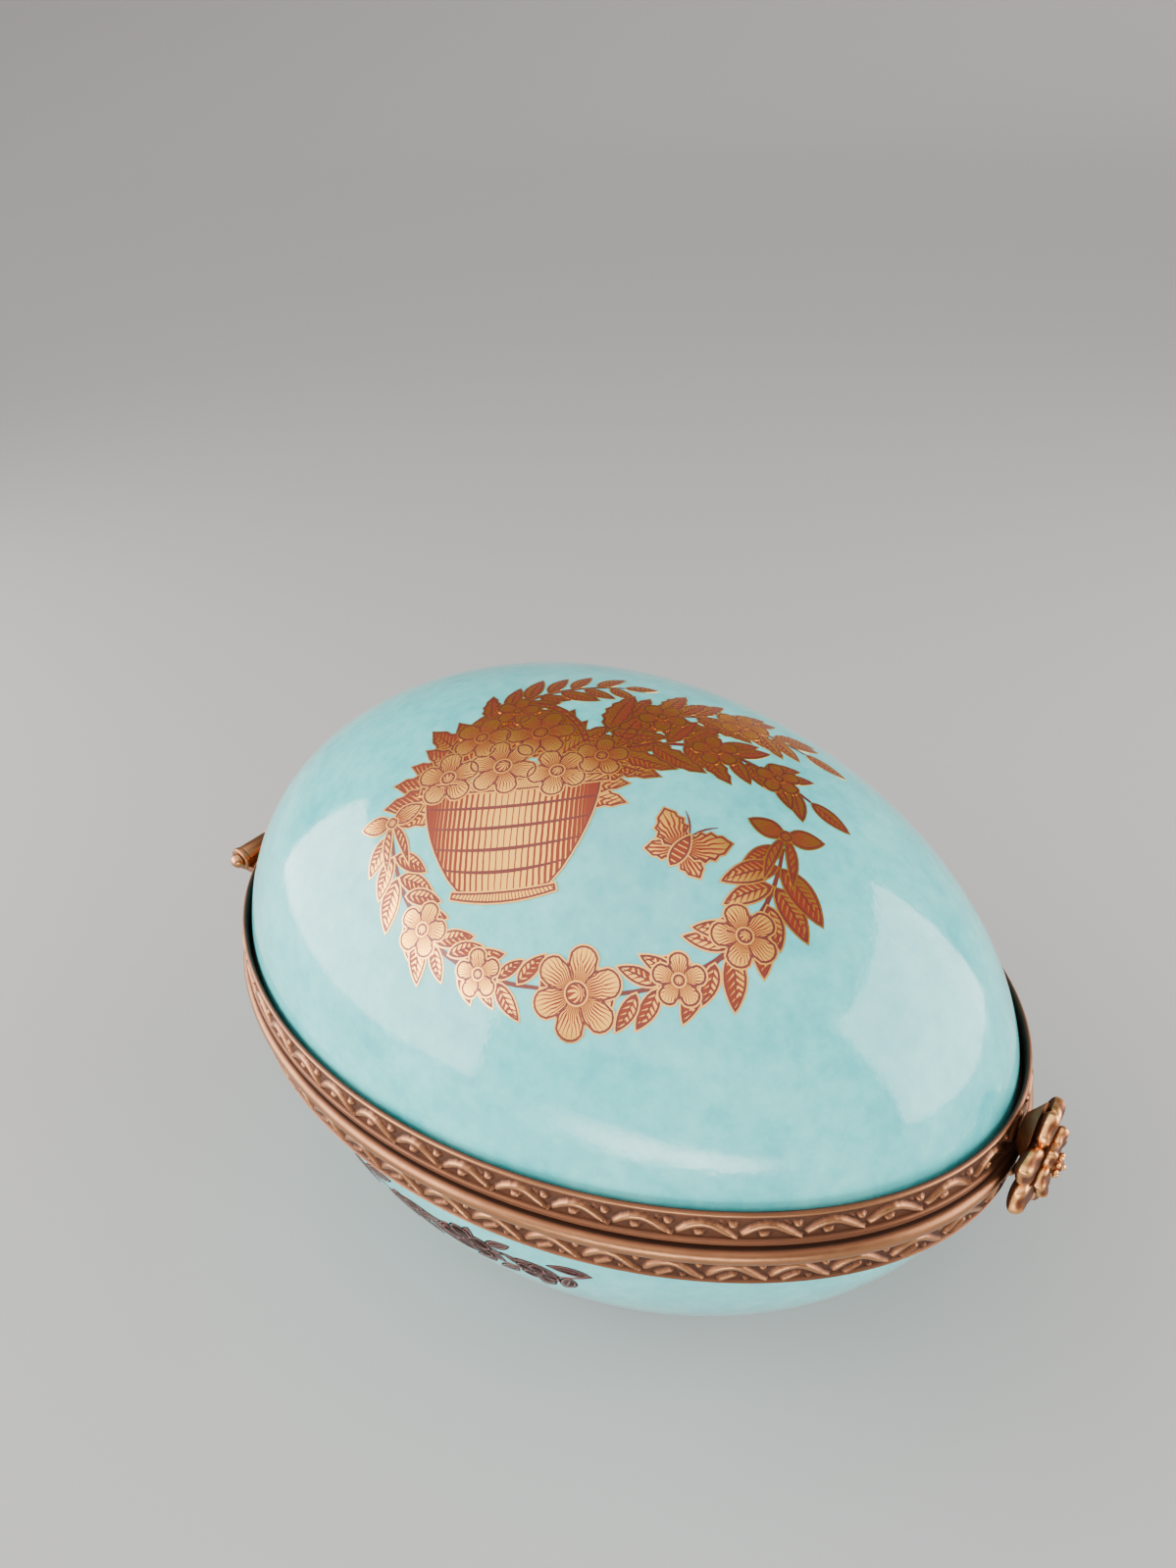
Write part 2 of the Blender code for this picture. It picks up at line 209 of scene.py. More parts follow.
def new_group(name, inputs, outputs):
    """Shader node group with its own sockets; returns the tree and its two end nodes.

    An input's kind follows from its first value, and None makes it a vector.
    """
    group = bpy.data.node_groups.new(name, "ShaderNodeTree")
    for label, value in inputs.items():
        kind = "Vector" if value is None else "Float" if isinstance(value, float) else "Color"
        made = group.interface.new_socket(label, in_out="INPUT", socket_type="NodeSocket" + kind)
        if value is not None:
            made.default_value = value
    for label in outputs:
        kind = "Color" if label == "Color" else "Float"
        group.interface.new_socket(label, in_out="OUTPUT", socket_type="NodeSocket" + kind)
    start = group.nodes.new("NodeGroupInput")
    end = group.nodes.new("NodeGroupOutput")
    return group, start, end


def feed(tree, target, value):
    """Link an input to another node's output, or set it to a plain value."""
    if isinstance(value, bpy.types.NodeSocket):
        tree.links.new(value, target)
    else:
        target.default_value = value


def add_node(tree, kind, settings=None, inputs=None):
    """Add a node, set its fields, and link or set its inputs."""
    node = tree.nodes.new(kind)
    for field, value in (settings or {}).items():
        setattr(node, field, value)
    for name, value in (inputs or {}).items():
        feed(tree, node.inputs[name], value)
    return node


def add_math(tree, operation, *operands, clamp=False):
    node = add_node(tree, "ShaderNodeMath", {"operation": operation, "use_clamp": clamp})
    for target, value in zip(node.inputs, operands):
        feed(tree, target, value)
    return node.outputs[0]


def times_plus(tree, value, factor, extra, clamp=False):
    return add_math(tree, "MULTIPLY_ADD", value, factor, extra, clamp=clamp)


def add_mix(tree, factor, first, second):
    node = add_node(tree, "ShaderNodeMix", {"data_type": "RGBA"})
    for index, value in ((0, factor), (6, first), (7, second)):
        feed(tree, node.inputs[index], value)
    return node.outputs[2]


def noise(tree, vector, scale, detail=3.0, roughness=0.5):
    inputs = {"Vector": vector, "Scale": scale, "Detail": detail, "Roughness": roughness}
    return add_node(tree, "ShaderNodeTexNoise", None, inputs).outputs["Fac"]


def make_mottle_group():
    """Soft clouding, fine curdle and stray specks of a fired glaze."""
    inputs = {
        "Vector": None,
        "Body": (0.3, 0.6, 0.6, 1.0),
        "Deep": (0.2, 0.5, 0.5, 1.0),
        "Speck": (0.1, 0.2, 0.2, 1.0),
        "Specks": 0.5,
    }
    group, start, end = new_group("glaze mottle", inputs, ("Color", "Height"))
    vector = start.outputs["Vector"]
    cloud = noise(group, vector, 210.0, 4.0, 0.6)
    curdle = noise(group, vector, 950.0, 4.0, 0.65)
    clouding = times_plus(group, cloud, 3.0, -1.02, clamp=True)
    curdling = times_plus(group, curdle, 3.0, -1.05, clamp=True)
    share = times_plus(group, curdling, 0.45, add_math(group, "MULTIPLY", clouding, 0.55))
    colour = add_mix(group, share, start.outputs["Body"], start.outputs["Deep"])
    cells = add_node(group, "ShaderNodeTexVoronoi", None, {"Vector": vector, "Scale": 260.0})
    dot = add_math(group, "LESS_THAN", cells.outputs["Distance"], 0.10)
    rare = add_math(group, "GREATER_THAN", noise(group, vector, 190.0, 0.0), 0.72)
    speck = add_math(group, "MULTIPLY", add_math(group, "MULTIPLY", dot, rare), start.outputs["Specks"])
    group.links.new(add_mix(group, speck, colour, start.outputs["Speck"]), end.inputs["Color"])
    group.links.new(times_plus(group, cloud, 1.0, curdling), end.inputs["Height"])
    return group


def make_patina_group():
    """Colour of old cast brass from a tone: patina and painted shade in the recesses, painted highlights in
    copper on the highs, and fine pitting.
    """
    inputs = {
        "Vector": None,
        "Relief": 0.5,
        "Recess": (0.02, 0.01, 0.01, 1.0),
        "Body": (0.4, 0.2, 0.1, 1.0),
        "High": (0.8, 0.5, 0.3, 1.0),
        "Grime": 0.5,
    }
    outputs = ("Color", "Roughness", "Metallic", "Height")
    group, start, end = new_group("brass patina", inputs, outputs)
    vector = start.outputs["Vector"]
    blotch = noise(group, vector, 350.0, 4.0, 0.6)
    pits = noise(group, vector, 2600.0, 2.0)
    shifted = times_plus(group, blotch, start.outputs["Grime"], start.outputs["Relief"])
    level = times_plus(group, start.outputs["Grime"], -0.5, shifted, clamp=True)
    lower = add_math(group, "MULTIPLY", level, 2.0, clamp=True)
    upper = times_plus(group, level, 2.0, -1.0, clamp=True)
    # Recess colour is patina and painted shade; High colour is a painted highlight on raised parts.
    colour = add_mix(group, lower, start.outputs["Recess"], start.outputs["Body"])
    colour = add_mix(group, upper, colour, start.outputs["High"])
    rough = times_plus(group, level, -0.30, 0.52)
    rough = times_plus(group, pits, 0.16, rough)
    group.links.new(colour, end.inputs["Color"])
    group.links.new(rough, end.inputs["Roughness"])
    group.links.new(times_plus(group, lower, 0.45, 0.55), end.inputs["Metallic"])
    group.links.new(times_plus(group, blotch, 0.6, pits), end.inputs["Height"])
    return group


def make_engraving_group():
    """Ink lines of a printed engraving: the first map value counts them, the second darkens them."""
    inputs = {
        "Lines": None,
        "Vector": None,
        "Gold": (0.8, 0.5, 0.2, 1.0),
        "Ink": (0.2, 0.04, 0.03, 1.0),
        "Weight": 0.5,
    }
    group, start, end = new_group("engraving", inputs, ("Color", "Ink"))
    parts = add_node(group, "ShaderNodeSeparateXYZ", None, {"Vector": start.outputs["Lines"]})
    waver = noise(group, start.outputs["Vector"], 900.0, 2.0)
    count = times_plus(group, waver, 0.35, parts.outputs["X"])
    wave = add_math(group, "PINGPONG", count, 0.5)
    weight = add_math(group, "MULTIPLY", parts.outputs["Y"], start.outputs["Weight"])
    weight = add_math(group, "MULTIPLY", weight, 0.5)
    edge = add_math(group, "SUBTRACT", weight, wave)
    ink = add_math(group, "MULTIPLY", edge, 14.0, clamp=True)
    group.links.new(add_mix(group, ink, start.outputs["Gold"], start.outputs["Ink"]), end.inputs["Color"])
    group.links.new(ink, end.inputs["Ink"])
    return group


def new_material(name, fields):
    """Material with constant shader fields; object coordinates come with it."""
    material = bpy.data.materials.new(name)
    material.use_nodes = True
    tree = material.node_tree
    shader = tree.nodes["Principled BSDF"]
    for field, value in fields.items():
        shader.inputs[field].default_value = value
    place = add_node(tree, "ShaderNodeTexCoord").outputs["Object"]
    return material, tree, shader, place


def use_group(tree, group, shader, inputs):
    """Add a node group and link its outputs to the shader inputs that they are meant for."""
    node = add_node(tree, "ShaderNodeGroup", {"node_tree": group}, inputs)
    for field, target in (("Color", "Base Color"), ("Roughness", "Roughness"), ("Metallic", "Metallic")):
        if field in node.outputs:
            tree.links.new(node.outputs[field], shader.inputs[target])
    return node


def add_bump(tree, shader, height, strength, distance):
    inputs = {"Height": height, "Strength": strength, "Distance": distance * MM}
    bump = add_node(tree, "ShaderNodeBump", None, inputs)
    tree.links.new(bump.outputs["Normal"], shader.inputs["Normal"])


def make_glaze(name, mottle, body, deep, speck, specks):
    fields = {"Roughness": 0.07, "Coat Weight": 0.25, "Coat Roughness": 0.03}
    material, tree, shader, place = new_material(name, fields)
    inputs = {"Vector": place, "Body": body, "Deep": deep, "Speck": speck, "Specks": specks}
    node = use_group(tree, mottle, shader, inputs)
    add_bump(tree, shader, node.outputs["Height"], 0.22, 0.03)
    return material


def make_brass(name, patina, recess, body, high, grime, lumps):
    material, tree, shader, place = new_material(name, {})
    # The relief attribute is a tone that carries patina, painted shade and painted highlights.
    relief = add_node(tree, "ShaderNodeAttribute", {"attribute_name": "relief"}).outputs["Fac"]
    inputs = {"Vector": place, "Relief": relief}
    inputs |= {"Recess": recess, "Body": body, "High": high, "Grime": grime}
    node = use_group(tree, patina, shader, inputs)
    add_bump(tree, shader, node.outputs["Height"], 0.35, lumps)
    return material


def make_gilding(name, engraving, gold, ink, weight, edge_tint):
    """Fired gold film with printed maroon lines."""
    fields = {"Roughness": 0.22, "Specular Tint": edge_tint}
    material, tree, shader, place = new_material(name, fields)
    lines = add_node(tree, "ShaderNodeUVMap", {"uv_map": "engraving"}).outputs["UV"]
    inputs = {"Lines": lines, "Vector": place, "Gold": gold, "Ink": ink, "Weight": weight}
    node = use_group(tree, engraving, shader, inputs)
    metal = times_plus(tree, node.outputs["Ink"], -0.7, 1.0)
    tree.links.new(metal, shader.inputs["Metallic"])
    add_bump(tree, shader, node.outputs["Ink"], -0.3, 0.02)
    return material


def make_ink(name, mottle):
    """Maroon outline colour, fused into the glaze."""
    material, tree, shader, place = new_material(name, {"Roughness": 0.22, "Metallic": 0.25})
    body = (0.20, 0.035, 0.025, 1.0)
    deep = (0.11, 0.02, 0.018, 1.0)
    use_group(tree, mottle, shader, {"Vector": place, "Body": body, "Deep": deep, "Specks": 0.0})
    return material


def new_object(name, bm, materials):
    """Put a bmesh into the scene as a smooth object, its millimetres turned into metres."""
    bmesh.ops.scale(bm, vec=(MM, MM, MM), verts=bm.verts)
    mesh = bpy.data.meshes.new(name)
    bm.to_mesh(mesh)
    bm.free()
    mesh.shade_smooth()
    for material in materials:
        mesh.materials.append(material)
    made = bpy.data.objects.new(name, mesh)
    bpy.context.scene.collection.objects.link(made)
    return made


def finish_piece(name, bm, materials, body, nodes=(), sharp=40.0):
    """Lift a piece from the egg's widest plane to its height, and hand it over."""
    bmesh.ops.translate(bm, vec=(0.0, 0.0, WIDEST_Z), verts=bm.verts)
    piece = new_object(name, bm, materials)
    piece.data.set_sharp_from_angle(angle=math.radians(sharp))
    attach(piece, body)
    if nodes:
        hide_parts(*nodes)


def add_to(bm, part):
    """Move one bmesh into another, with its layers."""
    mesh = bpy.data.meshes.new("part")
    part.to_mesh(mesh)
    part.free()
    bm.from_mesh(mesh)
    bpy.data.meshes.remove(mesh)


def face_outward(bm):
    """Turn the faces of one closed body outward."""
    bmesh.ops.recalc_face_normals(bm, faces=bm.faces)
    if bm.calc_volume(signed=True) < 0.0:
        bmesh.ops.reverse_faces(bm, faces=bm.faces)


def bisect(bm, place, normal, **clear):
    """Cut everything along a plane, and clear one side of it if asked."""
    everything = bm.verts[:] + bm.edges[:] + bm.faces[:]
    bmesh.ops.bisect_plane(bm, geom=everything, dist=0.0001, plane_co=place, plane_no=normal, **clear)


def set_relief(bm, value):
    """Give a whole bmesh one tone between recess (0), patina and painted shade, and high (1), a painted
    highlight.
    """
    layer = bm.verts.layers.float.new("relief")
    for vert in bm.verts:
        vert[layer] = value


def egg_surface(half_length, half_width, height):
    """Egg about the X axis, as a tapered sphere with its poles up and down."""
    bm = bmesh.new()
    bmesh.ops.create_uvsphere(bm, u_segments=GLAZE_SEGMENTS, v_segments=GLAZE_RINGS, radius=1.0)
    for vert in bm.verts:
        factor = taper_at(vert.co.x)
        vert.co.x *= half_length
        vert.co.y *= half_width * factor
        vert.co.z *= height * factor
    return bm


def glaze_shell(height, level, keep_up, foot=None):
    """Half an egg with a wall: glaze outside is material 0, and the white lining is material 1."""
    bm = egg_surface(HALF_LENGTH, HALF_WIDTH, height)
    bisect(bm, (0.0, 0.0, level), Z_AXIS, clear_inner=keep_up, clear_outer=not keep_up)
    if foot is not None:
        bisect(bm, (0.0, 0.0, foot), Z_AXIS, clear_inner=True)
        rim = [e for e in bm.edges if e.is_boundary and e.verts[0].co.z < (level + foot) / 2]
        bmesh.ops.holes_fill(bm, edges=rim, sides=0)
    lining = egg_surface(HALF_LENGTH - WALL, HALF_WIDTH - WALL, height - WALL)
    bisect(lining, (0.0, 0.0, level), Z_AXIS, clear_inner=keep_up, clear_outer=not keep_up)
    bmesh.ops.reverse_faces(lining, faces=lining.faces)
    for face in lining.faces:
        face.material_index = 1
    add_to(bm, lining)
    joint = bmesh.ops.bridge_loops(bm, edges=[e for e in bm.edges if e.is_boundary])
    for face in joint["faces"]:
        face.material_index = 1
    face_outward(bm)
    return bm


def even_angles(count):
    """Angles of points spaced evenly round the rim, from the hinge round by the near side."""
    fine = count * 8
    runs = [0.0]
    last = oval_point(-math.pi, LIP_PROUD)
    for step in range(1, fine + 1):
        point = oval_point(-math.pi + math.tau * step / fine, LIP_PROUD)
        runs.append(runs[-1] + math.dist(last, point))
        last = point
    angles = []
    place = 0
    for step in range(count):
        goal = runs[-1] * step / count
        while runs[place + 1] < goal:
            place += 1
        share = (goal - runs[place]) / (runs[place + 1] - runs[place])
        angles.append(-math.pi + math.tau * (place + share) / fine)
    return angles


def segment_distance(point, start, end):
    """Distance from a point to a stretch of line, and how far along it the nearest place is."""
    along = (end[0] - start[0], end[1] - start[1])
    size = along[0] ** 2 + along[1] ** 2
    share = ((point[0] - start[0]) * along[0] + (point[1] - start[1]) * along[1]) / size
    share = min(max(share, 0.0), 1.0)
    return math.hypot(point[0] - start[0] - share * along[0], point[1] - start[1] - share * along[1]), share


# Wave ornament: one cell's rope as (run, rise, half width), in shares of the cell and band and in mm
ROPE = [
    (0.00, 0.30, 0.16), (0.07, 0.43, 0.22), (0.16, 0.57, 0.25), (0.27, 0.68, 0.26), (0.39, 0.72, 0.26),
    (0.51, 0.66, 0.25), (0.62, 0.51, 0.23), (0.72, 0.34, 0.20), (0.81, 0.19, 0.15), (0.91, 0.06, 0.09),
]
# Marks between the ropes as (run, rise) of both ends, half width and crest
LID_MARKS = [
    (0.29, 0.25, 0.36, 0.28, 0.19, 0.85),
    (0.83, 0.71, 0.86, 0.71, 0.21, 0.95),
    (0.66, 0.84, 0.73, 0.68, 0.09, 0.50),
]
BASE_MARKS = [
    (0.20, 0.04, 0.42, 0.34, 0.18, 0.80),
    (0.59, 0.10, 0.61, 0.10, 0.15, 0.65),
    (0.85, 0.80, 0.87, 0.80, 0.20, 0.90),
]
# Band tones: plain ground, the rope's edge, and painted shade that darkens the ground within SHADE_WIDTH mm
# of a rope.
GROUND_TONE = 0.30
ROPE_TONE = 0.16
SHADE_TONE = 0.08
SHADE_WIDTH = 0.26


def bump_of(distance, radius):
    """Height of a round-backed ridge at a distance from its middle line."""
    return math.sqrt(max(0.0, 1.0 - (distance / radius) ** 2))


def wave_relief(run, rise, pitch, height, marks, stretch):
    """Height (0 to 1) and tone of the band at shares of a cell and of the band, with painted highlights on
    the crests and painted shade on the ground beside them.
    """
    strokes = []
    for start, end in zip(ROPE, ROPE[1:]):
        ends = (start[0], start[1] * stretch, end[0], end[1] * stretch)
        strokes.append((*ends, start[2], end[2], 1.0))
    for x0, y0, x1, y1, width, crest in marks:
        strokes.append((x0, y0, x1, y1, width, width, crest))
    best = 0.0
    clear = SHADE_WIDTH
    for cell in (-1.0, 0.0, 1.0):
        place = ((run + cell) * pitch, rise * height)
        for x0, y0, x1, y1, first, last, crest in strokes:
            distance, share = segment_distance(place, (x0 * pitch, y0 * height), (x1 * pitch, y1 * height))
            width = first + (last - first) * share
            clear = min(clear, distance - width)
            if distance < width:
                best = max(best, crest * bump_of(distance, width) * (0.55 + 0.45 * min(width / 0.2, 1.0)))
    # Ropes brighten toward their crests as a painted highlight; the ground darkens beside them as painted
    # shade.
    if best > 0.0:
        return best, ROPE_TONE + (1.0 - ROPE_TONE) * best
    return best, SHADE_TONE + (GROUND_TONE - SHADE_TONE) * max(clear, 0.0) / SHADE_WIDTH


def sweep_rim(before, band, after, marks, stretch, shift):
    """Turn a profile, chase its band and lay it round the egg's outline.

    The profile is (proud, level, relief) points before and after the band, which runs between two
    (proud, level) ends.
    """
    steps = WAVES * WAVE_STEPS
    bm = bmesh.new()
    layer = bm.verts.layers.float.new("relief")
    corners = []
    for proud, level, relief in before + band_points(*band) + after:
        vert = bm.verts.new((HALF_LENGTH + proud, 0.0, level))
        vert[layer] = relief
        corners.append(vert)
    ring = [bm.edges.new((corners[i - 1], corners[i])) for i in range(len(corners))]
    sweep = {"cent": (0.0, 0.0, 0.0), "axis": Z_AXIS}
    bmesh.ops.spin(bm, geom=corners + ring, angle=math.tau / WAVES, steps=WAVE_STEPS, **sweep)
    cell = bm.verts[:] + bm.edges[:] + bm.faces[:]
    around = math.tau * (WAVES - 1) / WAVES
    bmesh.ops.spin(bm, geom=cell, angle=around, steps=WAVES - 1, use_duplicate=True, **sweep)
    bmesh.ops.remove_doubles(bm, verts=bm.verts, dist=0.002)
    angles = even_angles(steps)
    table = {}
    places = [oval_point(angle, LIP_PROUD) for angle in angles]
    length = sum(math.dist(places[i - 1], places[i]) for i in range(steps))
    low, high = sorted(level for _, level in band)
    for vert in bm.verts:
        proud = math.hypot(vert.co.x, vert.co.y) - HALF_LENGTH
        turn = (math.atan2(vert.co.y, vert.co.x) + math.pi) / math.tau
        step = round(turn * steps) % steps
        if vert[layer] < 0.0:
            run = (step / WAVE_STEPS + shift) % 1.0
            rise = (vert.co.z - low) / (high - low)
            key = (round(run * WAVE_STEPS), round(rise * 1000))
            if key not in table:
                table[key] = wave_relief(run, rise, length / WAVES, high - low, marks, stretch)
            proud += RELIEF_HEIGHT * table[key][0] - GROUND_SINK
            vert[layer] = table[key][1]
        vert.co.x, vert.co.y = oval_point(angles[step], proud)
    face_outward(bm)
    return bm


def band_points(start, end):
    """Rows of a band between two (proud, level) ends, marked to be chased."""
    points = []
    for row in range(BAND_ROWS + 1):
        share = row / BAND_ROWS
        proud = start[0] + (end[0] - start[0]) * share
        level = start[1] + (end[1] - start[1]) * share
        points.append((proud, level, -1.0))
    return points


def make_lid_rim(brass):
    foot = LID_RIM_FOOT
    # Third values are tones: the strip is darker on its underside and where it steps in to the band, as
    # painted shade.
    strip = [
        (-SEAT_REACH, foot, 0.6),
        (RIM_INNER, foot, 0.45),
        (STRIP_PROUD - 0.06, foot, 0.10),
        (STRIP_PROUD, foot + 0.06, 0.50),
        (STRIP_PROUD, STRIP_TOP - 0.10, 0.42),
        (STRIP_PROUD - 0.03, STRIP_TOP - 0.04, 0.46),
        (LID_BAND_PROUD, STRIP_TOP + 0.02, 0.25),
    ]
    band = ((LID_BAND_PROUD - 0.02, STRIP_TOP + 0.04), (LIP_PROUD + 0.04, LID_RIM_TOP - 0.36))
    # A painted highlight runs along the lip's outer edge; its top and inner slope are dark as painted
    # shadow in the gap beside the glaze.
    lip = [
        (LIP_PROUD - 0.06, LID_RIM_TOP - 0.31, 0.05),
        (LIP_PROUD + 0.05, LID_RIM_TOP - 0.26, 0.55),
        (LIP_PROUD + 0.08, LID_RIM_TOP - 0.19, 0.95),
        (LIP_PROUD + 0.06, LID_RIM_TOP - 0.10, 0.85),
        (LIP_PROUD - 0.02, LID_RIM_TOP - 0.03, 0.35),
        (LIP_PROUD - 0.10, LID_RIM_TOP, 0.20),
        (RIM_INNER + 0.06, LID_RIM_TOP - 0.05, 0.05),
        (RIM_INNER, LID_RIM_TOP - 0.25, 0.02),
        (RIM_INNER, foot + SEAT_THICKNESS, 0.02),
        (-SEAT_REACH, foot + SEAT_THICKNESS, 0.3),
    ]
    bm = sweep_rim(strip, band, lip, LID_MARKS, LID_WAVE_STRETCH, LID_WAVE_SHIFT)
    finish_piece("lid_mount", bm, [brass], "lid", ["lid_rim"])


def make_base_rim(brass):
    top = BASE_RIM_TOP
    foot = BASE_RIM_FOOT
    moulding = [(-SEAT_REACH, top, 0.6), (RIM_INNER, top, 0.45)]
    for step in range(TORUS_STEPS + 1):
        turn = math.pi * step / TORUS_STEPS
        drop = TORUS_HEIGHT * (1.0 - math.cos(turn)) / 2
        # Painted highlight along the torus bulge, falling to painted shade at its top and foot.
        shine = 0.08 + 0.80 * math.sin(turn) ** 0.7
        moulding.append((BASE_BAND_PROUD + TORUS_SWELL * math.sin(turn), top - drop, shine))
    band = ((BASE_BAND_PROUD, top - TORUS_HEIGHT - 0.05), (BASE_BAND_PROUD, foot + 0.22))
    # The hem is dark where it meets the band, as painted shade, with a painted highlight on its bulge.
    hem = [
        (BASE_BAND_PROUD - 0.04, foot + 0.20, 0.15),
        (HEM_PROUD - 0.08, foot + 0.15, 0.45),
        (HEM_PROUD - 0.04, foot + 0.09, 0.60),
        (HEM_PROUD - 0.06, foot + 0.03, 0.45),
        (HEM_PROUD - 0.12, foot, 0.20),
        (RIM_INNER, foot, 0.05),
        (RIM_INNER, top - SEAT_THICKNESS, 0.05),
        (-SEAT_REACH, top - SEAT_THICKNESS, 0.3),
    ]
    bm = sweep_rim(moulding, band, hem, BASE_MARKS, BASE_WAVE_STRETCH, BASE_WAVE_SHIFT)
    level = (band[0][1] + band[1][1]) / 2
    add_to(bm, ball(CATCH_RADIUS, (HALF_LENGTH + BASE_BAND_PROUD, 0.0, level), 1.0, 0.9, 24, 16))
    finish_piece("base_mount", bm, [brass], "base", ["base_rim"])


def make_shells(glaze, lining):
    lid = glaze_shell(DOME_HEIGHT, LID_EDGE_LEVEL, True)
    finish_piece("lid_shell", lid, [glaze, lining], "lid", ["lid_porcelain"])
    bowl = glaze_shell(BOWL_DEPTH, BASE_EDGE_LEVEL, False, -WIDEST_Z)
    finish_piece("bowl_shell", bowl, [glaze, lining], "base", ["base_porcelain"])


def leaf_outline(shoulder, crest):
    """Scalloped hinge plate, three lobes a side, from one corner over the crest to the other."""
    side = [
        (1.00, 0.00), (1.00, 0.10), (0.97, 0.22), (0.88, 0.33), (0.79, 0.42), (0.76, 0.52),
        (0.75, 0.66), (0.71, 0.77), (0.63, 0.83), (0.53, 0.82), (0.45, 0.75), (0.42, 0.72),
        (0.40, 0.82), (0.33, 0.91), (0.22, 0.95), (0.12, 0.90), (0.07, 0.97), (0.00, 1.00),
    ]
    right = [(y * BARREL_HALF, shoulder + (crest - shoulder) * share) for y, share in side]
    left = [(-y, level) for y, level in reversed(right[:-1])]
    return right + left


def palmette(y, level, shoulder, crest):
    """Relief of a hinge plate: ribs that fan out from the middle of its foot."""
    rise = (level - shoulder) / (crest - shoulder)
    across = y / BARREL_HALF
    fan = math.atan2(across, rise + 0.25)
    reach = math.hypot(across, rise + 0.25)
    rib = 0.5 + 0.5 * math.cos(fan * FAN_RIBS)
    return 0.25 + 0.75 * rib * ramp(reach, 0.30, 0.55)


def plate(outline, inner_x, outer_x, relief=None):
    """Plate with a (y, level) outline, a rounded edge and a chased front, bent to curves of y."""
    bm = bmesh.new()
    bm.faces.new([bm.verts.new((0.0, y, level)) for y, level in outline])
    made = bmesh.ops.extrude_face_region(bm, geom=bm.faces[:])
    front = [part for part in made["geom"] if isinstance(part, bmesh.types.BMVert)]
    bmesh.ops.translate(bm, vec=(1.0, 0.0, 0.0), verts=front)
    bmesh.ops.recalc_face_normals(bm, faces=bm.faces)
    edges = [e for e in bm.edges if all(v.co.x > 0.5 for v in e.verts)]
    bmesh.ops.bevel(
        bm, geom=edges, offset=PLATE_ROUND, offset_type="OFFSET", segments=3, profile=0.5, material=-1,
        affect="EDGES",
    )
    ys = [y for y, _ in outline]
    levels = [level for _, level in outline]
    for axis, low, high in ((Y_AXIS, min(ys), max(ys)), (Z_AXIS, min(levels), max(levels))):
        cuts = math.ceil((high - low) / LEAF_GRID)
        for cut in range(1, cuts):
            bisect(bm, axis * (low + (high - low) * cut / cuts), axis)
    layer = bm.verts.layers.float.new("relief")
    for vert in bm.verts:
        share = vert.co.x
        level = relief(vert.co.y, vert.co.z) if relief else 0.6
        lowered = PLATE_RELIEF * (1.0 - level) if share > 0.99 else 0.0
        back = inner_x(vert.co.y)
        face = outer_x(vert.co.y)
        depth = 1.0 if face > back else -1.0
        vert.co.x = back + (face - back) * share - depth * lowered
        # Front tone follows the chasing: painted shade in the grooves, painted highlight on the ribs.
        vert[layer] = 0.15 + 0.85 * level if share > 0.99 else 0.7
    bmesh.ops.triangulate(bm, faces=bm.faces)
    face_outward(bm)
    return bm


def turned(points, centre, axis, segments, relief):
    """Solid turned about an axis from (radius, run) points; a closed ring if no end is on the axis."""
    bm = bmesh.new()
    layer = bm.verts.layers.float.new("relief")
    side = axis.orthogonal().normalized()
    line = []
    for radius, run in points:
        vert = bm.verts.new(centre + side * radius + axis * run)
        vert[layer] = relief
        line.append(vert)
    edges = [bm.edges.new(pair) for pair in zip(line, line[1:])]
    if points[0][0] > 0.0:
        edges.append(bm.edges.new((line[-1], line[0])))
    bmesh.ops.spin(
        bm, geom=line + edges, cent=centre, axis=axis, angle=math.tau, steps=segments, use_merge=True
    )
    bmesh.ops.remove_doubles(bm, verts=bm.verts, dist=0.0005)
    face_outward(bm)
    return bm


def knuckle(y_from, y_to):
    """Hinge barrel with a bored middle, rounded ends and a bead at each end."""
    round_off = 0.12
    outer = KNUCKLE_RADIUS
    end = [
        (BORE_RADIUS, 0.0),
        (outer - round_off, 0.0),
        (outer - 0.04, 0.04),
        (outer, round_off),
        (outer, 0.40),
        (outer - 0.12, 0.50),
        (outer - 0.08, 0.62),
    ]
    points = [(radius, y_from + run) for radius, run in end]
    points += [(radius, y_to - run) for radius, run in reversed(end)]
    return turned(points, hinge_centre(), Y_AXIS, BARREL_SEGMENTS, 0.75)


def hinge_centre():
    return PIVOT - Z_AXIS * WIDEST_Z


def add_knuckle(bm, start, end, low, wall):
    """Add a barrel and the web that joins it to its plate, from the level low up."""
    web = [
        (start + LEAF_GAP, low),
        (end - LEAF_GAP, low),
        (end - LEAF_GAP, low + WEB_HEIGHT),
        (start + LEAF_GAP, low + WEB_HEIGHT),
    ]
    add_to(bm, plate(web, lambda y: oval_x(y, wall, -1), lambda y: PIVOT.x - WEB_OVERLAP))
    add_to(bm, knuckle(start, end))


def hinge_plate(outline, back, shoulder, crest):
    """Chased plate that follows the rim a thickness out from back."""
    return plate(
        outline,
        lambda y: oval_x(y, back, -1),
        lambda y: oval_x(y, back + LEAF_THICKNESS, -1),
        lambda y, level: palmette(y, level, shoulder, crest),
    )


def make_lid_leaf(brass):
    back = STRIP_PROUD + LEAF_GAP
    foot = LID_RIM_FOOT
    half = LID_KNUCKLE_HALF
    bm = hinge_plate(leaf_outline(foot, LEAF_RISE), back, foot, LEAF_RISE)
    add_knuckle(bm, -half, half, foot + LEAF_GAP, back + LEAF_THICKNESS / 2)
    finish_piece("lid_hinge_plate", bm, [brass], "lid", ["hinge_leaf_lid"])


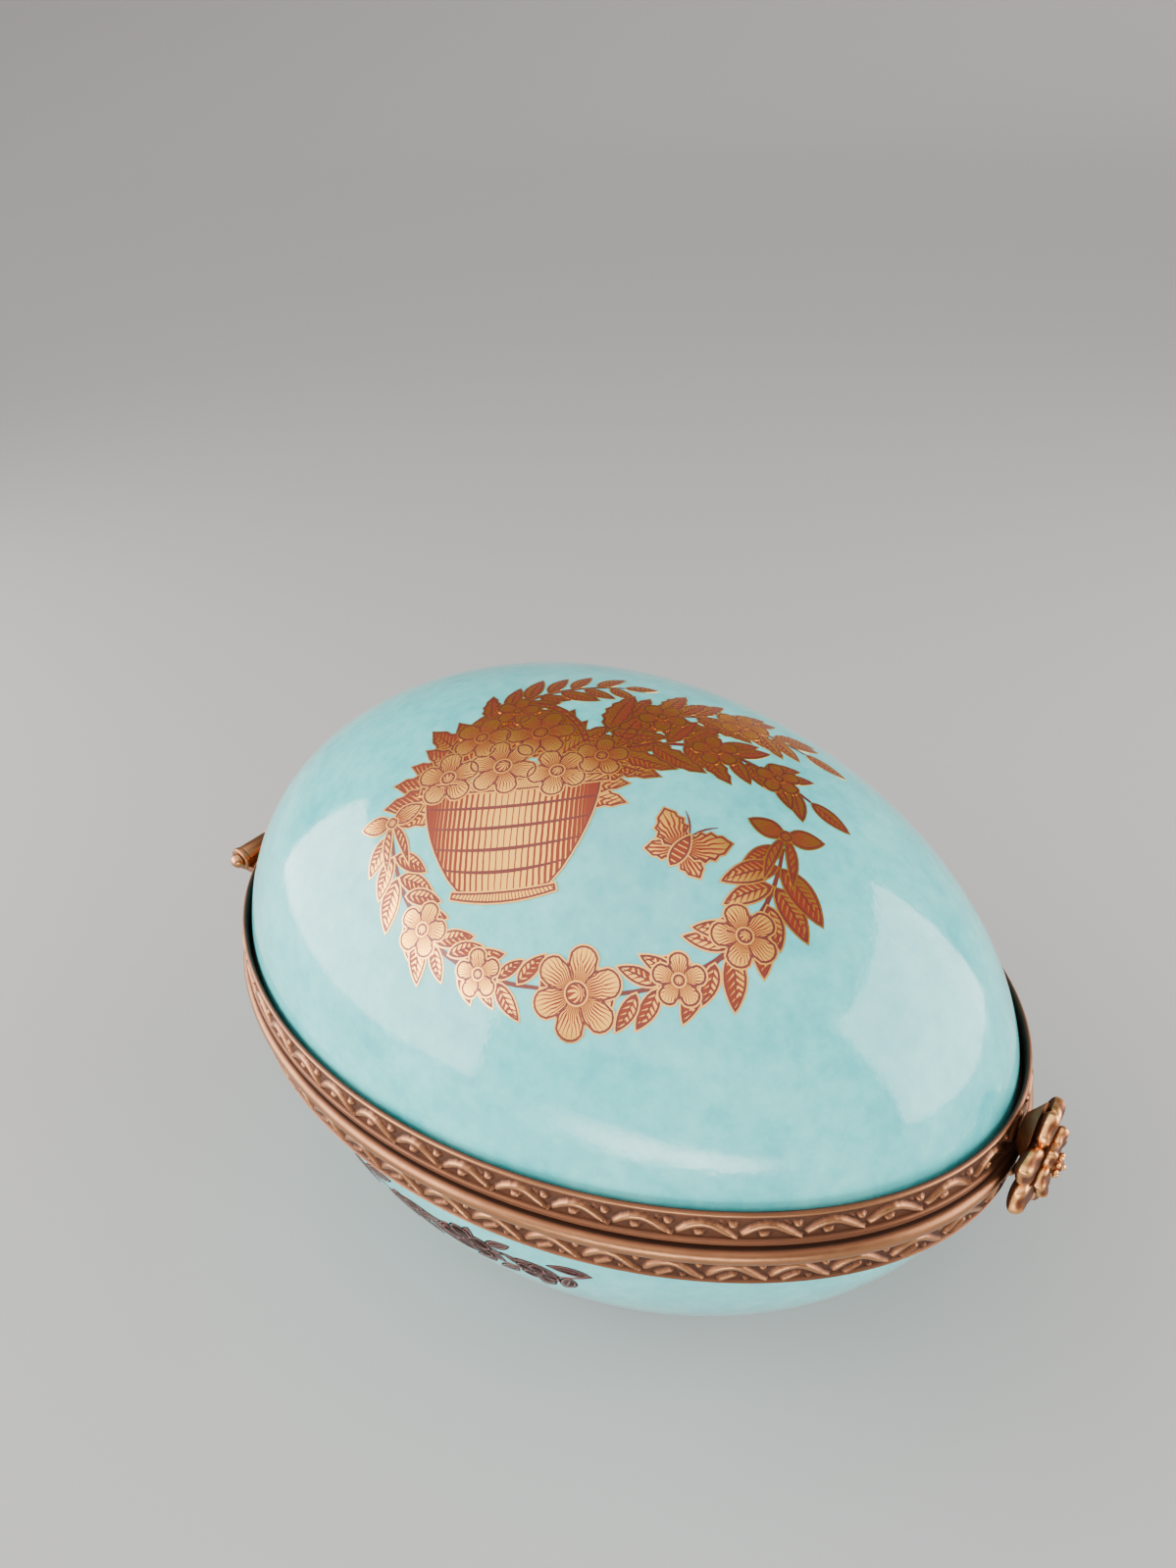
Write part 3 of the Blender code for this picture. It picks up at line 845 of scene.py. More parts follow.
def make_base_leaf(brass):
    back = BASE_BAND_PROUD + TORUS_SWELL + LEAF_GAP
    top = BASE_RIM_TOP
    inner = LID_KNUCKLE_HALF + KNUCKLE_GAP
    notch = hinge_centre().z - KNUCKLE_RADIUS - KNUCKLE_GAP
    outline = leaf_outline(top, LEAF_DROP)
    outline += [(-inner, top), (-inner, notch), (inner, notch), (inner, top)]
    bm = hinge_plate(outline, back, top, LEAF_DROP)
    for side in (-1.0, 1.0):
        start, end = sorted((side * inner, side * BARREL_HALF))
        add_knuckle(bm, start, end, top - LEAF_GAP - WEB_HEIGHT, back + LEAF_THICKNESS / 2)
    finish_piece("base_hinge_plate", bm, [brass], "base", ["hinge_leaf_base"])


def make_pin(brass):
    """Hinge pin with a domed head at each end."""
    seat = BARREL_HALF + PIN_HEAD_GAP
    head = []
    for step in range(9):
        turn = math.pi / 2 * step / 8
        head.append((PIN_HEAD_RADIUS * math.sin(turn), -seat - PIN_HEAD_RADIUS * math.cos(turn)))
    head.append((PIN_HEAD_RADIUS - 0.05, -seat + 0.03))
    head.append((PIN_RADIUS, -seat + 0.03))
    points = head + [(radius, -run) for radius, run in reversed(head)]
    bm = turned(points, hinge_centre(), Y_AXIS, PIN_SEGMENTS, 0.95)
    finish_piece("hinge_rod", bm, [brass], "base", ["hinge_pin"])


def petal(length, width, thickness, middle, rise, tilt, turn):
    """Plump cast petal with a hollow middle and three curled lobes, pointing away from the centre."""
    bm = bmesh.new()
    layer = bm.verts.layers.float.new("relief")
    bmesh.ops.create_uvsphere(bm, u_segments=40, v_segments=24, radius=1.0)
    for vert in bm.verts:
        x, y, z = vert.co
        spread = min(math.hypot(x, y), 1.0)
        fan = math.atan2(y, x + 1.15)
        lobe = 0.5 + 0.5 * math.cos(fan * LOBE_TURNS)
        front = ramp(z, -0.1, 0.4)
        outer = ramp(x, -0.6, 0.5)
        hollow = (1.0 - spread ** 2) * ramp(z, 0.0, 0.5)
        groove = (1.0 - lobe) * outer * front
        depth = z * (1.0 - 0.50 * hollow) if z > 0.0 else z * 0.8
        depth += 0.16 * (lobe - 0.5) * outer * front
        reach = 1.0 - 0.13 * (1.0 - lobe) * outer
        narrowed = reach * (1.0 - 0.22 * max(x, 0.0) ** 2)
        vert.co = Vector((x * length * reach, y * width * narrowed, depth * thickness))
        # Tones: painted highlight on the petal's rim; painted shade in its hollow, in the grooves between
        # lobes, toward the blossom's middle and underneath.
        edge = ramp(spread, 0.45, 0.90) * (1.0 - 0.85 * groove)
        vert[layer] = (0.14 + 0.86 * edge) * ramp(x, -1.0, -0.3) if z > -0.3 else 0.12
    bmesh.ops.rotate(bm, cent=(0, 0, 0), matrix=Matrix.Rotation(-tilt, 3, "Y"), verts=bm.verts)
    bmesh.ops.translate(bm, vec=(middle, 0.0, rise), verts=bm.verts)
    bmesh.ops.rotate(bm, cent=(0, 0, 0), matrix=Matrix.Rotation(turn, 3, "Z"), verts=bm.verts)
    return bm


def ball(radius, place, flatten, relief, segments=20, rings=12):
    bm = bmesh.new()
    bmesh.ops.create_uvsphere(bm, u_segments=segments, v_segments=rings, radius=radius)
    bmesh.ops.scale(bm, vec=(1.0, 1.0, flatten), verts=bm.verts)
    bmesh.ops.translate(bm, vec=place, verts=bm.verts)
    set_relief(bm, relief)
    return bm


def make_blossom(gilt):
    """Cast blossom of two petal layers round a beaded middle, bent to follow the rim behind it."""
    # The disc under the petals is dark as painted shade; the beads take the brightest tone as painted
    # highlights.
    bm = ball(BLOSSOM_RADIUS * 0.66, (0.0, 0.0, 0.62), 0.25, 0.06)
    for index in range(PETALS):
        turn = math.tau * index / PETALS
        add_to(bm, petal(*OUTER_PETAL, turn + OUTER_TURN))
        add_to(bm, petal(*INNER_PETAL, turn + OUTER_TURN + math.pi / PETALS))
    add_to(bm, ball(0.60, (0.0, 0.0, 1.60), 0.85, 0.40))
    for index in range(BEADS):
        angle = math.tau * index / BEADS
        place = (BEAD_CIRCLE * math.cos(angle), BEAD_CIRCLE * math.sin(angle), 1.86)
        add_to(bm, ball(0.17, place, 1.0, 1.0))
    add_to(bm, ball(0.20, (0.0, 0.0, 2.05), 1.0, 1.0))
    for vert in bm.verts:
        depth, across, along = vert.co.z, vert.co.x, vert.co.y
        vert.co = Vector((oval_x(across, BLOSSOM_PROUD, 1) + depth, across, along))
    stem = bmesh.new()
    start = STRIP_PROUD + LEAF_GAP
    end = BLOSSOM_PROUD + 0.3
    sideways = Matrix.Rotation(math.radians(90.0), 4, "Y")
    size = {"radius1": STEM_RADIUS, "radius2": CALYX_RADIUS, "depth": end - start}
    bmesh.ops.create_cone(stem, cap_ends=True, segments=32, matrix=sideways, **size)
    middle = HALF_LENGTH + (start + end) / 2
    bmesh.ops.translate(stem, vec=(middle, 0.0, (LID_RIM_FOOT + LID_RIM_TOP) / 2), verts=stem.verts)
    set_relief(stem, 0.4)
    add_to(bm, stem)
    finish_piece("clasp_rosette", bm, [gilt], "lid", ["clasp_blossom"])


# Gilding: flat motifs of gold film with ink outlines, laid on the glaze in thin layers
FRINGE = 0.08
INK_LINE = 0.12
FILM_GRID = 0.8
FILM_LIFT = 0.02
LAYER_STEP = 0.004
FILM_DEPTH = 0.03
LINE_PITCH = 0.34
SMALL_LEAF = 3.1
SPRIG_STEPS = 13
BASKET_FOOT = 0.52
GOLD_FACE = 0
INK_FACE = 1
ENGRAVED_FACE = 2


def canvas(centre_ray, right_hint, reach):
    """Function that lays flat picture millimetres (right, up) on the egg round one spot."""
    middle = Vector((0.0, 0.0, 0.0))
    spot = egg_hit(middle, centre_ray.normalized(), reach)
    normal = egg_normal(spot)
    right = (right_hint - normal * right_hint.dot(normal)).normalized()
    up = normal.cross(right)
    core = spot - normal * reach

    def lay(across, along):
        run = math.hypot(across, along)
        ray = normal.copy()
        if run > 0.0:
            side = (right * across + up * along) / run
            ray = normal * math.cos(run / reach) + side * math.sin(run / reach)
        hit = egg_hit(core, ray, reach)
        return hit, egg_normal(hit)

    return lay


def lay_film(film, lay, outline, at, turn, layer, engraving):
    """Lay one motif: a closed film with a gold fringe, an ink outline and an engraved middle.

    The engraving turns a face's middle and a point into a line count and a line weight; without
    one the whole motif is ink.
    """
    flat = bmesh.new()
    lines = flat.loops.layers.uv.new("engraving")
    face = flat.faces.new([flat.verts.new((x, y, 0.0)) for x, y in outline])
    face.normal_update()
    if face.normal.z < 0.0:
        face.normal_flip()
    face.material_index = INK_FACE
    if engraving:
        for width, kind in ((FRINGE, GOLD_FACE), (INK_LINE, INK_FACE)):
            made = bmesh.ops.inset_region(
                flat, faces=[face], thickness=width, use_even_offset=True, use_boundary=True
            )
            for ring in made["faces"]:
                ring.material_index = kind
        face.material_index = ENGRAVED_FACE
    for axis in (X_AXIS, Y_AXIS):
        spread = [vert.co.dot(axis) for vert in flat.verts]
        for cut in range(math.ceil(min(spread) / FILM_GRID), math.floor(max(spread) / FILM_GRID) + 1):
            bisect(flat, axis * (cut * FILM_GRID), axis)
    bmesh.ops.remove_doubles(flat, verts=flat.verts, dist=0.001)
    for face in flat.faces:
        middle = face.calc_center_median()
        engraved = face.material_index == ENGRAVED_FACE
        for loop in face.loops:
            loop[lines].uv = engraving(middle, loop.vert.co) if engraved else (0.5, 0.0)
        if engraved:
            face.material_index = GOLD_FACE
    buried = set(flat.verts)
    bmesh.ops.extrude_face_region(flat, geom=flat.faces[:])
    rise = layer * LAYER_STEP
    spots = {}
    for vert in flat.verts:
        x, y, _ = vert.co
        if (x, y) not in spots:
            across = at[0] + x * math.cos(turn) - y * math.sin(turn)
            along = at[1] + x * math.sin(turn) + y * math.cos(turn)
            spots[x, y] = lay(across, along)
        hit, normal = spots[x, y]
        vert.co = hit + normal * (-FILM_DEPTH - rise if vert in buried else FILM_LIFT + rise)
    bmesh.ops.triangulate(flat, faces=flat.faces)
    face_outward(flat)
    add_to(film, flat)


def new_picture(heading, right_hint, reach):
    """Empty film for one spot of the egg, and the function that stamps motifs on it."""
    film = bmesh.new()
    film.loops.layers.uv.new("engraving")
    lay = canvas(heading, right_hint, reach)

    def stamp(outline, at, turn, layer, engraving=None):
        lay_film(film, lay, outline, at, turn, layer, engraving)

    return film, stamp


def leaf_shape(length, width, bend=0.0, teeth=0):
    """Pointed leaf from its stem at (0, 0) up to its tip."""
    right = []
    left = []
    steps = 9 if teeth == 0 else teeth * 2
    for step in range(1, steps):
        share = step / steps
        half = width / 2 * math.sin(math.pi * share ** 0.85) ** 0.8
        if teeth and step % 2:
            half *= 0.80
        sway = bend * share * share
        right.append((sway + half, length * share))
        left.append((sway - half, length * share))
    return [(0.0, 0.0)] + right + [(bend, length)] + left[::-1]


def leaf_veins(width):
    def engraving(middle, point):
        side = 1.0 if middle.x > 0.0 else -1.0
        count = (point.y - abs(point.x) * 0.9) / LINE_PITCH
        weight = 0.45 + 0.40 * side * abs(point.x) / (width / 2)
        return count, weight

    return engraving


def blossom_shape(radius, petals, depth):
    points = []
    steps = petals * 8
    for step in range(steps):
        angle = math.tau * step / steps
        reach = radius * (1.0 - depth * (1.0 - abs(math.cos(petals * angle / 2)) ** 0.6))
        points.append((reach * math.cos(angle), reach * math.sin(angle)))
    return points


def ray_lines(radius, count, dark_middle):
    """Lines that fan out from the middle, heavier toward the middle or toward the edge."""

    def engraving(middle, point):
        home = math.atan2(middle.y, middle.x)
        angle = math.atan2(point.y, point.x)
        angle = home + (angle - home + math.pi) % math.tau - math.pi
        share = min(math.hypot(point.x, point.y) / radius, 1.0)
        weight = 0.85 * (1.0 - share) if dark_middle else 0.15 + 0.6 * share
        return angle / math.tau * count, weight

    return engraving


def stroke_shape(points, width, tip=0.25):
    """Thin strip along a line of points, full in its middle and thinner at its tips."""
    right = []
    left = []
    last = len(points) - 1
    for index, (x, y) in enumerate(points):
        before = points[max(index - 1, 0)]
        after = points[min(index + 1, last)]
        run = (after[0] - before[0], after[1] - before[1])
        size = math.hypot(*run)
        swell = tip + (1.0 - tip) * math.sin(math.pi * index / last)
        side = (-run[1] / size * width / 2 * swell, run[0] / size * width / 2 * swell)
        right.append((x - side[0], y - side[1]))
        left.append((x + side[0], y + side[1]))
    return right + left[::-1]


def curve_points(start, bend, end, count):
    """Points along a curve from start to end, pulled toward bend."""
    points = []
    for index in range(count):
        share = index / (count - 1)
        rest = 1.0 - share
        points.append(tuple(
            rest * rest * start[axis] + 2.0 * rest * share * bend[axis] + share * share * end[axis]
            for axis in (0, 1)
        ))
    return points


def lay_leaf(stamp, at, turn, length, layer, teeth=0, bend=0.0):
    width = length * 0.42
    if length < SMALL_LEAF:
        teeth = 0
    stamp(leaf_shape(length, width, bend, teeth), at, turn, layer, leaf_veins(width))
    rib = curve_points((0.0, 0.1 * length), (0.0, 0.5 * length), (bend * 0.8, 0.86 * length), 5)
    stamp(stroke_shape(rib, 0.11), at, turn, layer + 1)


def lay_blossom(stamp, at, turn, radius, layer, petals=5):
    """Open flower with creases between its petals and an engraved eye."""
    stamp(blossom_shape(radius, petals, 0.34), at, turn, layer, ray_lines(radius, petals * 9, True))
    for index in range(petals):
        angle = math.tau * (index + 0.5) / petals
        reaches = (0.25 * radius, 0.45 * radius, 0.66 * radius)
        crease = [(reach * math.cos(angle), reach * math.sin(angle)) for reach in reaches]
        stamp(stroke_shape(crease, 0.13), at, turn, layer + 1)
    eye = radius * 0.26
    stamp(blossom_shape(eye, 3, 0.0), at, turn, layer + 2, ray_lines(eye, 8, False))


def lay_sprig(stamp, rng, curve, leaves, length, layer, teeth, blooms):
    """Curved stem with leaves in turn on both sides, and (share, radius) blossoms along it."""
    points = curve_points(*curve, SPRIG_STEPS + 1)
    stamp(stroke_shape(points, 0.30, 0.6), (0.0, 0.0), 0.0, layer)
    for index in range(leaves):
        share = (index + 0.6) / leaves
        place = int(share * SPRIG_STEPS)
        at = points[place]
        run = (points[place + 1][0] - at[0], points[place + 1][1] - at[1])
        heading = math.atan2(run[1], run[0]) - math.pi / 2
        side = 1.0 if index % 2 else -1.0
        turn = heading + side * (0.75 + 0.3 * rng.random())
        size = length * (1.0 - 0.35 * share) * (0.85 + 0.3 * rng.random())
        lay_leaf(stamp, at, turn, size, layer + 1 + index % 3, teeth, 0.12 * size * side)
    lay_leaf(stamp, curve[-1], heading, length * 0.7, layer + 2, teeth)
    for share, radius in blooms:
        at = points[int(share * SPRIG_STEPS)]
        lay_blossom(stamp, at, rng.random() * 2.0, radius, layer + 5)


def basket_reach(half, share):
    """Half width of a basket at a share of its height."""
    return half * (BASKET_FOOT + (1.0 - BASKET_FOOT) * math.sin(math.pi / 2 * share) ** 0.8)


def basket_side(half, top, foot):
    """Basket outline with sides that curve in toward its foot."""
    right = [(basket_reach(half, step / 8), foot + (top - foot) * step / 8) for step in range(9)]
    base = half * BASKET_FOOT / 2
    return [(-base, foot - 0.35), (base, foot - 0.35)] + right + [(-x, y) for x, y in reversed(right)]


def stave_lines(half, count):
    """Upright lines that crowd together toward both sides of a round body."""

    def engraving(middle, point):
        share = max(-0.98, min(0.98, point.x / half))
        return math.asin(share) / math.pi * count, 0.16 + 0.75 * abs(share) ** 1.6

    return engraving


def cross_lines(pitch, weight):
    def engraving(middle, point):
        return point.y / pitch, weight

    return engraving


def sagging(reach, level, sag, count):
    """Points of a line that hangs evenly between two ends at one level."""
    return curve_points((-reach, level), (0.0, level - sag), (reach, level), count)


def lay_basket(stamp, at, half, height, layer):
    """Round basket with staves, woven bands, a rolled rim, a foot and an arched handle."""
    top = height / 2
    foot = -height / 2
    arch = []
    for step in range(25):
        turn = math.pi * step / 24
        arch.append((half * 0.86 * math.cos(turn), top + half * 1.32 * math.sin(turn)))
    stamp(stroke_shape(arch, 0.62, 0.9), at, 0.0, layer, cross_lines(LINE_PITCH * 1.4, 0.5))
    stamp(basket_side(half, top, foot), at, 0.0, layer + 6, stave_lines(half, 44))
    for band in range(1, 5):
        reach = basket_reach(half, band / 5) * 0.95
        line = sagging(reach, foot + (top - foot) * band / 5 + 0.1, 1.0, 15)
        stamp(stroke_shape(line, 0.22, 0.5), at, 0.0, layer + 7)
    rim = sagging(half * 1.08, top + 0.2, 0.9, 17)
    stamp(stroke_shape(rim, 1.0, 0.75), at, 0.0, layer + 8, ray_lines(half * 4.0, 150, False))
    base = sagging(half * 0.6, foot - 0.1, 0.8, 9)
    stamp(stroke_shape(base, 0.8, 0.7), at, 0.0, layer + 8, ray_lines(half * 4.0, 130, False))


def lay_butterfly(stamp, at, turn, size, layer):
    """Butterfly seen from above, two wings a side with rayed veins."""
    veins = ray_lines(size, 36, True)
    for side in (-1.0, 1.0):
        fore = leaf_shape(size, size * 0.75, side * -0.1 * size, teeth=5)
        hind = leaf_shape(size * 0.72, size * 0.55, teeth=4)
        stamp(fore, at, turn + side * -0.95, layer + 1, veins)
        stamp(hind, at, turn + side * -2.1, layer, veins)
        tip = (side * 0.35 * size, 0.8 * size)
        feeler = curve_points((0.0, 0.3 * size), (side * 0.1 * size, 0.6 * size), tip, 6)
        stamp(stroke_shape(feeler, 0.12), at, turn, layer + 2)
    body = leaf_shape(size * 0.85, size * 0.36)
    spot = (at[0] + math.sin(turn) * size * 0.45, at[1] - math.cos(turn) * size * 0.45)
    stamp(body, spot, turn, layer + 3, cross_lines(LINE_PITCH, 0.6))


def lay_bow(stamp, at, turn, size, layer):
    """Ribbon bow with two loops and two trailing ends."""
    for side in (-1.0, 1.0):
        tail = leaf_shape(size * 1.5, size * 0.32, side * 0.35 * size)
        stamp(tail, at, turn + math.pi + side * 0.45, layer, leaf_veins(size))
        loop = leaf_shape(size, size * 0.62)
        stamp(loop, at, turn + side * -1.35, layer + 1, ray_lines(size, 50, True))
    knot = blossom_shape(size * 0.2, 4, 0.1)
    stamp(knot, at, turn, layer + 2, ray_lines(size * 0.2, 8, False))


def make_lid_picture(gilding, ink):
    """Flower basket under a leafy spray, with a festoon below it and a butterfly beside it."""
    film, stamp = new_picture(Vector((4.5, -7.5, 17.6)), Vector((0.85, 0.52, 0.0)), 20.0)
    rng = random.Random(7)
    basket = (-4.2, -0.6)
    for index in range(19):
        turn = -1.95 + 3.9 * index / 18
        at = (basket[0] - math.sin(turn) * 2.4, basket[1] + 3.6 + math.cos(turn) * 1.6)
        lay_leaf(stamp, at, turn, 4.4 + 1.5 * rng.random(), index % 3, 6, 0.5 * math.sin(turn))
    spray = (
        (((0.0, 6.0), (7.0, 12.5), (13.6, 8.6)), 18, 4.4, 0, 6, ((0.35, 1.7), (0.7, 1.9))),
        (((0.5, 4.6), (7.5, 8.5), (13.0, 3.0)), 17, 4.0, 1, 5, ((0.55, 1.6), (0.85, 1.5))),
        (((-6.5, 7.4), (-4.5, 11.8), (1.5, 12.6)), 13, 3.4, 0, 5, ()),
    )
    for sprig in spray:
        lay_sprig(stamp, rng, *sprig)
    lay_basket(stamp, basket, 5.3, 6.8, 2)
    blooms = (
        (-8.2, 3.6, 2.0),
        (-4.9, 4.0, 2.2),
        (-1.6, 3.4, 1.9),
        (0.9, 4.6, 1.7),
        (-6.6, 6.6, 1.9),
        (-3.0, 6.7, 2.2),
        (-4.8, 9.0, 1.5),
    )
    for x, y, radius in blooms:
        lay_blossom(stamp, (x, y), rng.random() * 2.0, radius, 11, 5 + (radius > 2.0))
    festoon = (
        (((-11.5, 0.5), (-10.0, -9.5), (-0.5, -9.6)), 20, 3.3, 0, 0, ((0.45, 1.7), (0.75, 1.5))),
        (((11.0, -1.0), (9.5, -9.5), (1.0, -9.9)), 20, 3.3, 0, 0, ((0.45, 1.8), (0.75, 1.5))),
    )
    for sprig in festoon:
        lay_sprig(stamp, rng, *sprig)
    lay_blossom(stamp, (0.2, -9.8), 0.3, 2.6, 8, 6)
    lay_bow(stamp, (-11.5, 1.2), 0.2, 2.2, 6)
    lay_bow(stamp, (11.2, -0.2), -0.2, 2.2, 6)
    lay_butterfly(stamp, (5.6, -1.8), -0.5, 2.9, 1)
    finish_piece("lid_gilding", film, [gilding, ink], "lid", sharp=60.0)


def make_bowl_picture(gilding, ink, name, heading, right, seed):
    """Leafy sprig with three blossoms under the rim of the bowl."""
    film, stamp = new_picture(heading, right, 22.0)
    rng = random.Random(seed)
    lay_sprig(stamp, rng, ((-9.0, 1.0), (-3.0, -3.0), (2.0, 0.4)), 11, 3.4, 0, 5, ((0.4, 1.6),))
    lay_sprig(stamp, rng, ((9.0, 0.6), (4.0, -3.4), (-1.0, -0.6)), 10, 3.2, 0, 5, ((0.45, 1.5),))
    lay_blossom(stamp, (0.4, -0.6), 0.5, 2.0, 8)
    finish_piece(name, film, [gilding, ink], "base", sharp=60.0)


def make_stage():
    """Pale floor that rises far away into a plain backdrop."""
    material, tree, shader, place = new_material("studio_floor", {"Roughness": 0.75})
    shade = add_math(tree, "MULTIPLY", noise(tree, place, 9.0, 4.0), 0.03)
    colour = add_mix(tree, shade, (0.37, 0.365, 0.36, 1.0), (0.31, 0.31, 0.31, 1.0))
    tree.links.new(colour, shader.inputs["Base Color"])
    bm = bmesh.new()
    points = [(0.0, 0.0)]
    for step in range(13):
        turn = math.pi / 2 * step / 12
        reach = FLOOR_RADIUS + BACKDROP_RISE * math.sin(turn)
        points.append((reach, BACKDROP_RISE * (1.0 - math.cos(turn))))
    line = [bm.verts.new((reach, 0.0, height)) for reach, height in points]
    edges = [bm.edges.new(pair) for pair in zip(line, line[1:])]
    bmesh.ops.spin(
        bm, geom=line + edges, cent=(0, 0, 0), axis=Z_AXIS, angle=math.tau, steps=96, use_merge=True
    )
    bmesh.ops.remove_doubles(bm, verts=bm.verts, dist=0.01)
    bmesh.ops.recalc_face_normals(bm, faces=bm.faces)
    new_object("studio_floor", bm, [material])


def toward(azimuth, elevation):
    """Unit direction at an azimuth from +X and an elevation, in degrees."""
    turn = math.radians(azimuth)
    rise = math.radians(elevation)
    return Vector((math.cos(turn) * math.cos(rise), math.sin(turn) * math.cos(rise), math.sin(rise)))


def add_light(name, azimuth, elevation, distance, width, height, power, colour, roll=0.0):
    """Soft box that faces the egg from a direction, in millimetres and watts."""
    data = bpy.data.lights.new(name, "AREA")
    data.shape = "RECTANGLE"
    data.size = width * MM
    data.size_y = height * MM
    data.energy = power
    data.color = colour
    light = bpy.data.objects.new(name, data)
    direction = toward(azimuth, elevation)
    light.location = (direction * distance + Z_AXIS * WIDEST_Z) * MM
    tilt = Matrix.Rotation(math.radians(roll), 3, "Z").to_quaternion()
    light.rotation_euler = (direction.to_track_quat("Z", "Y") @ tilt).to_euler()
    light.visible_camera = False
    bpy.context.scene.collection.objects.link(light)
    return data


def fade_edges(data, share):
    """Let a soft box fade to nothing over a share of its width and height at each edge."""
    data.use_nodes = True
    tree = data.node_tree
    place = add_node(tree, "ShaderNodeNewGeometry").outputs["Parametric"]
    parts = add_node(tree, "ShaderNodeSeparateXYZ", None, {"Vector": place})
    strength = 1.0
    for axis in ("X", "Y"):
        inward = add_math(tree, "PINGPONG", parts.outputs[axis], 0.5)
        fade = add_node(tree, "ShaderNodeMapRange", SMOOTH, {"Value": inward, "From Max": share})
        strength = add_math(tree, "MULTIPLY", fade.outputs["Result"], strength)
    tree.links.new(strength, tree.nodes["Emission"].inputs["Strength"])


def make_lights():
    add_light("left_softbox", -137.5, 6.0, 190.0, 270.0, 160.0, 1.20, (1.0, 0.98, 0.95))
    add_light("right_softbox", 24.0, 13.0, 210.0, 250.0, 190.0, 1.00, (1.0, 0.99, 0.97))
    strip = add_light("low_strip", -61.0, -9.5, 105.0, 118.0, 28.0, 0.145, (1.0, 1.0, 1.0), roll=-7.0)
    fade_edges(strip, 0.42)
    make_room_light((-112.0, 54.0), 0.20, 2.4)


def make_room_light(bright_side, dim, bright):
    """World that is bright above the front of the egg and fades to dim behind it."""
    world = bpy.data.worlds.new("studio")
    world.use_nodes = True
    tree = world.node_tree
    ray = add_node(tree, "ShaderNodeTexCoord").outputs["Generated"]
    facing = add_node(tree, "ShaderNodeVectorMath", {"operation": "DOT_PRODUCT"})
    tree.links.new(ray, facing.inputs[0])
    facing.inputs[1].default_value = toward(*bright_side)
    limits = {"From Min": 0.40, "From Max": 0.92, "To Min": dim, "To Max": bright}
    share = add_node(tree, "ShaderNodeMapRange", SMOOTH, {"Value": facing.outputs["Value"], **limits})
    background = tree.nodes["Background"]
    background.inputs["Color"].default_value = (1.0, 0.97, 0.93, 1.0)
    tree.links.new(share.outputs["Result"], background.inputs["Strength"])
    bpy.context.scene.world = world


def make_camera():
    """Camera at the photograph's place, which was fitted to the egg's outlines."""
    azimuth = math.radians(38.18)
    elevation = math.radians(33.18)
    roll = math.radians(-2.73)
    distance = 80.94
    image = (1199.0, 1599.0)
    egg_centre = (615.9, 971.7)
    lens = 26.0
    sensor = 36.0
    focal = image[1] * lens / sensor
    back = Vector((
        math.sin(azimuth) * math.cos(elevation),
        -math.cos(azimuth) * math.cos(elevation),
        math.sin(elevation),
    ))
    level_right = (-back).cross(Z_AXIS).normalized()
    level_up = level_right.cross(-back)
    right = level_right * math.cos(roll) + level_up * math.sin(roll)
    up = level_up * math.cos(roll) - level_right * math.sin(roll)
    across = (egg_centre[0] - image[0] / 2) / focal
    down = (egg_centre[1] - image[1] / 2) / focal
    ray = (-back + right * across - up * down).normalized()
    data = bpy.data.cameras.new("camera")
    data.lens = lens
    data.sensor_width = sensor
    data.clip_start = 0.005
    camera = bpy.data.objects.new("camera", data)
    place = Z_AXIS * WIDEST_Z - ray * distance
    turn = Matrix((right, up, back)).transposed()
    camera.matrix_world = Matrix.Translation(place * MM) @ turn.to_4x4()
    bpy.context.scene.collection.objects.link(camera)
    bpy.context.scene.camera = camera


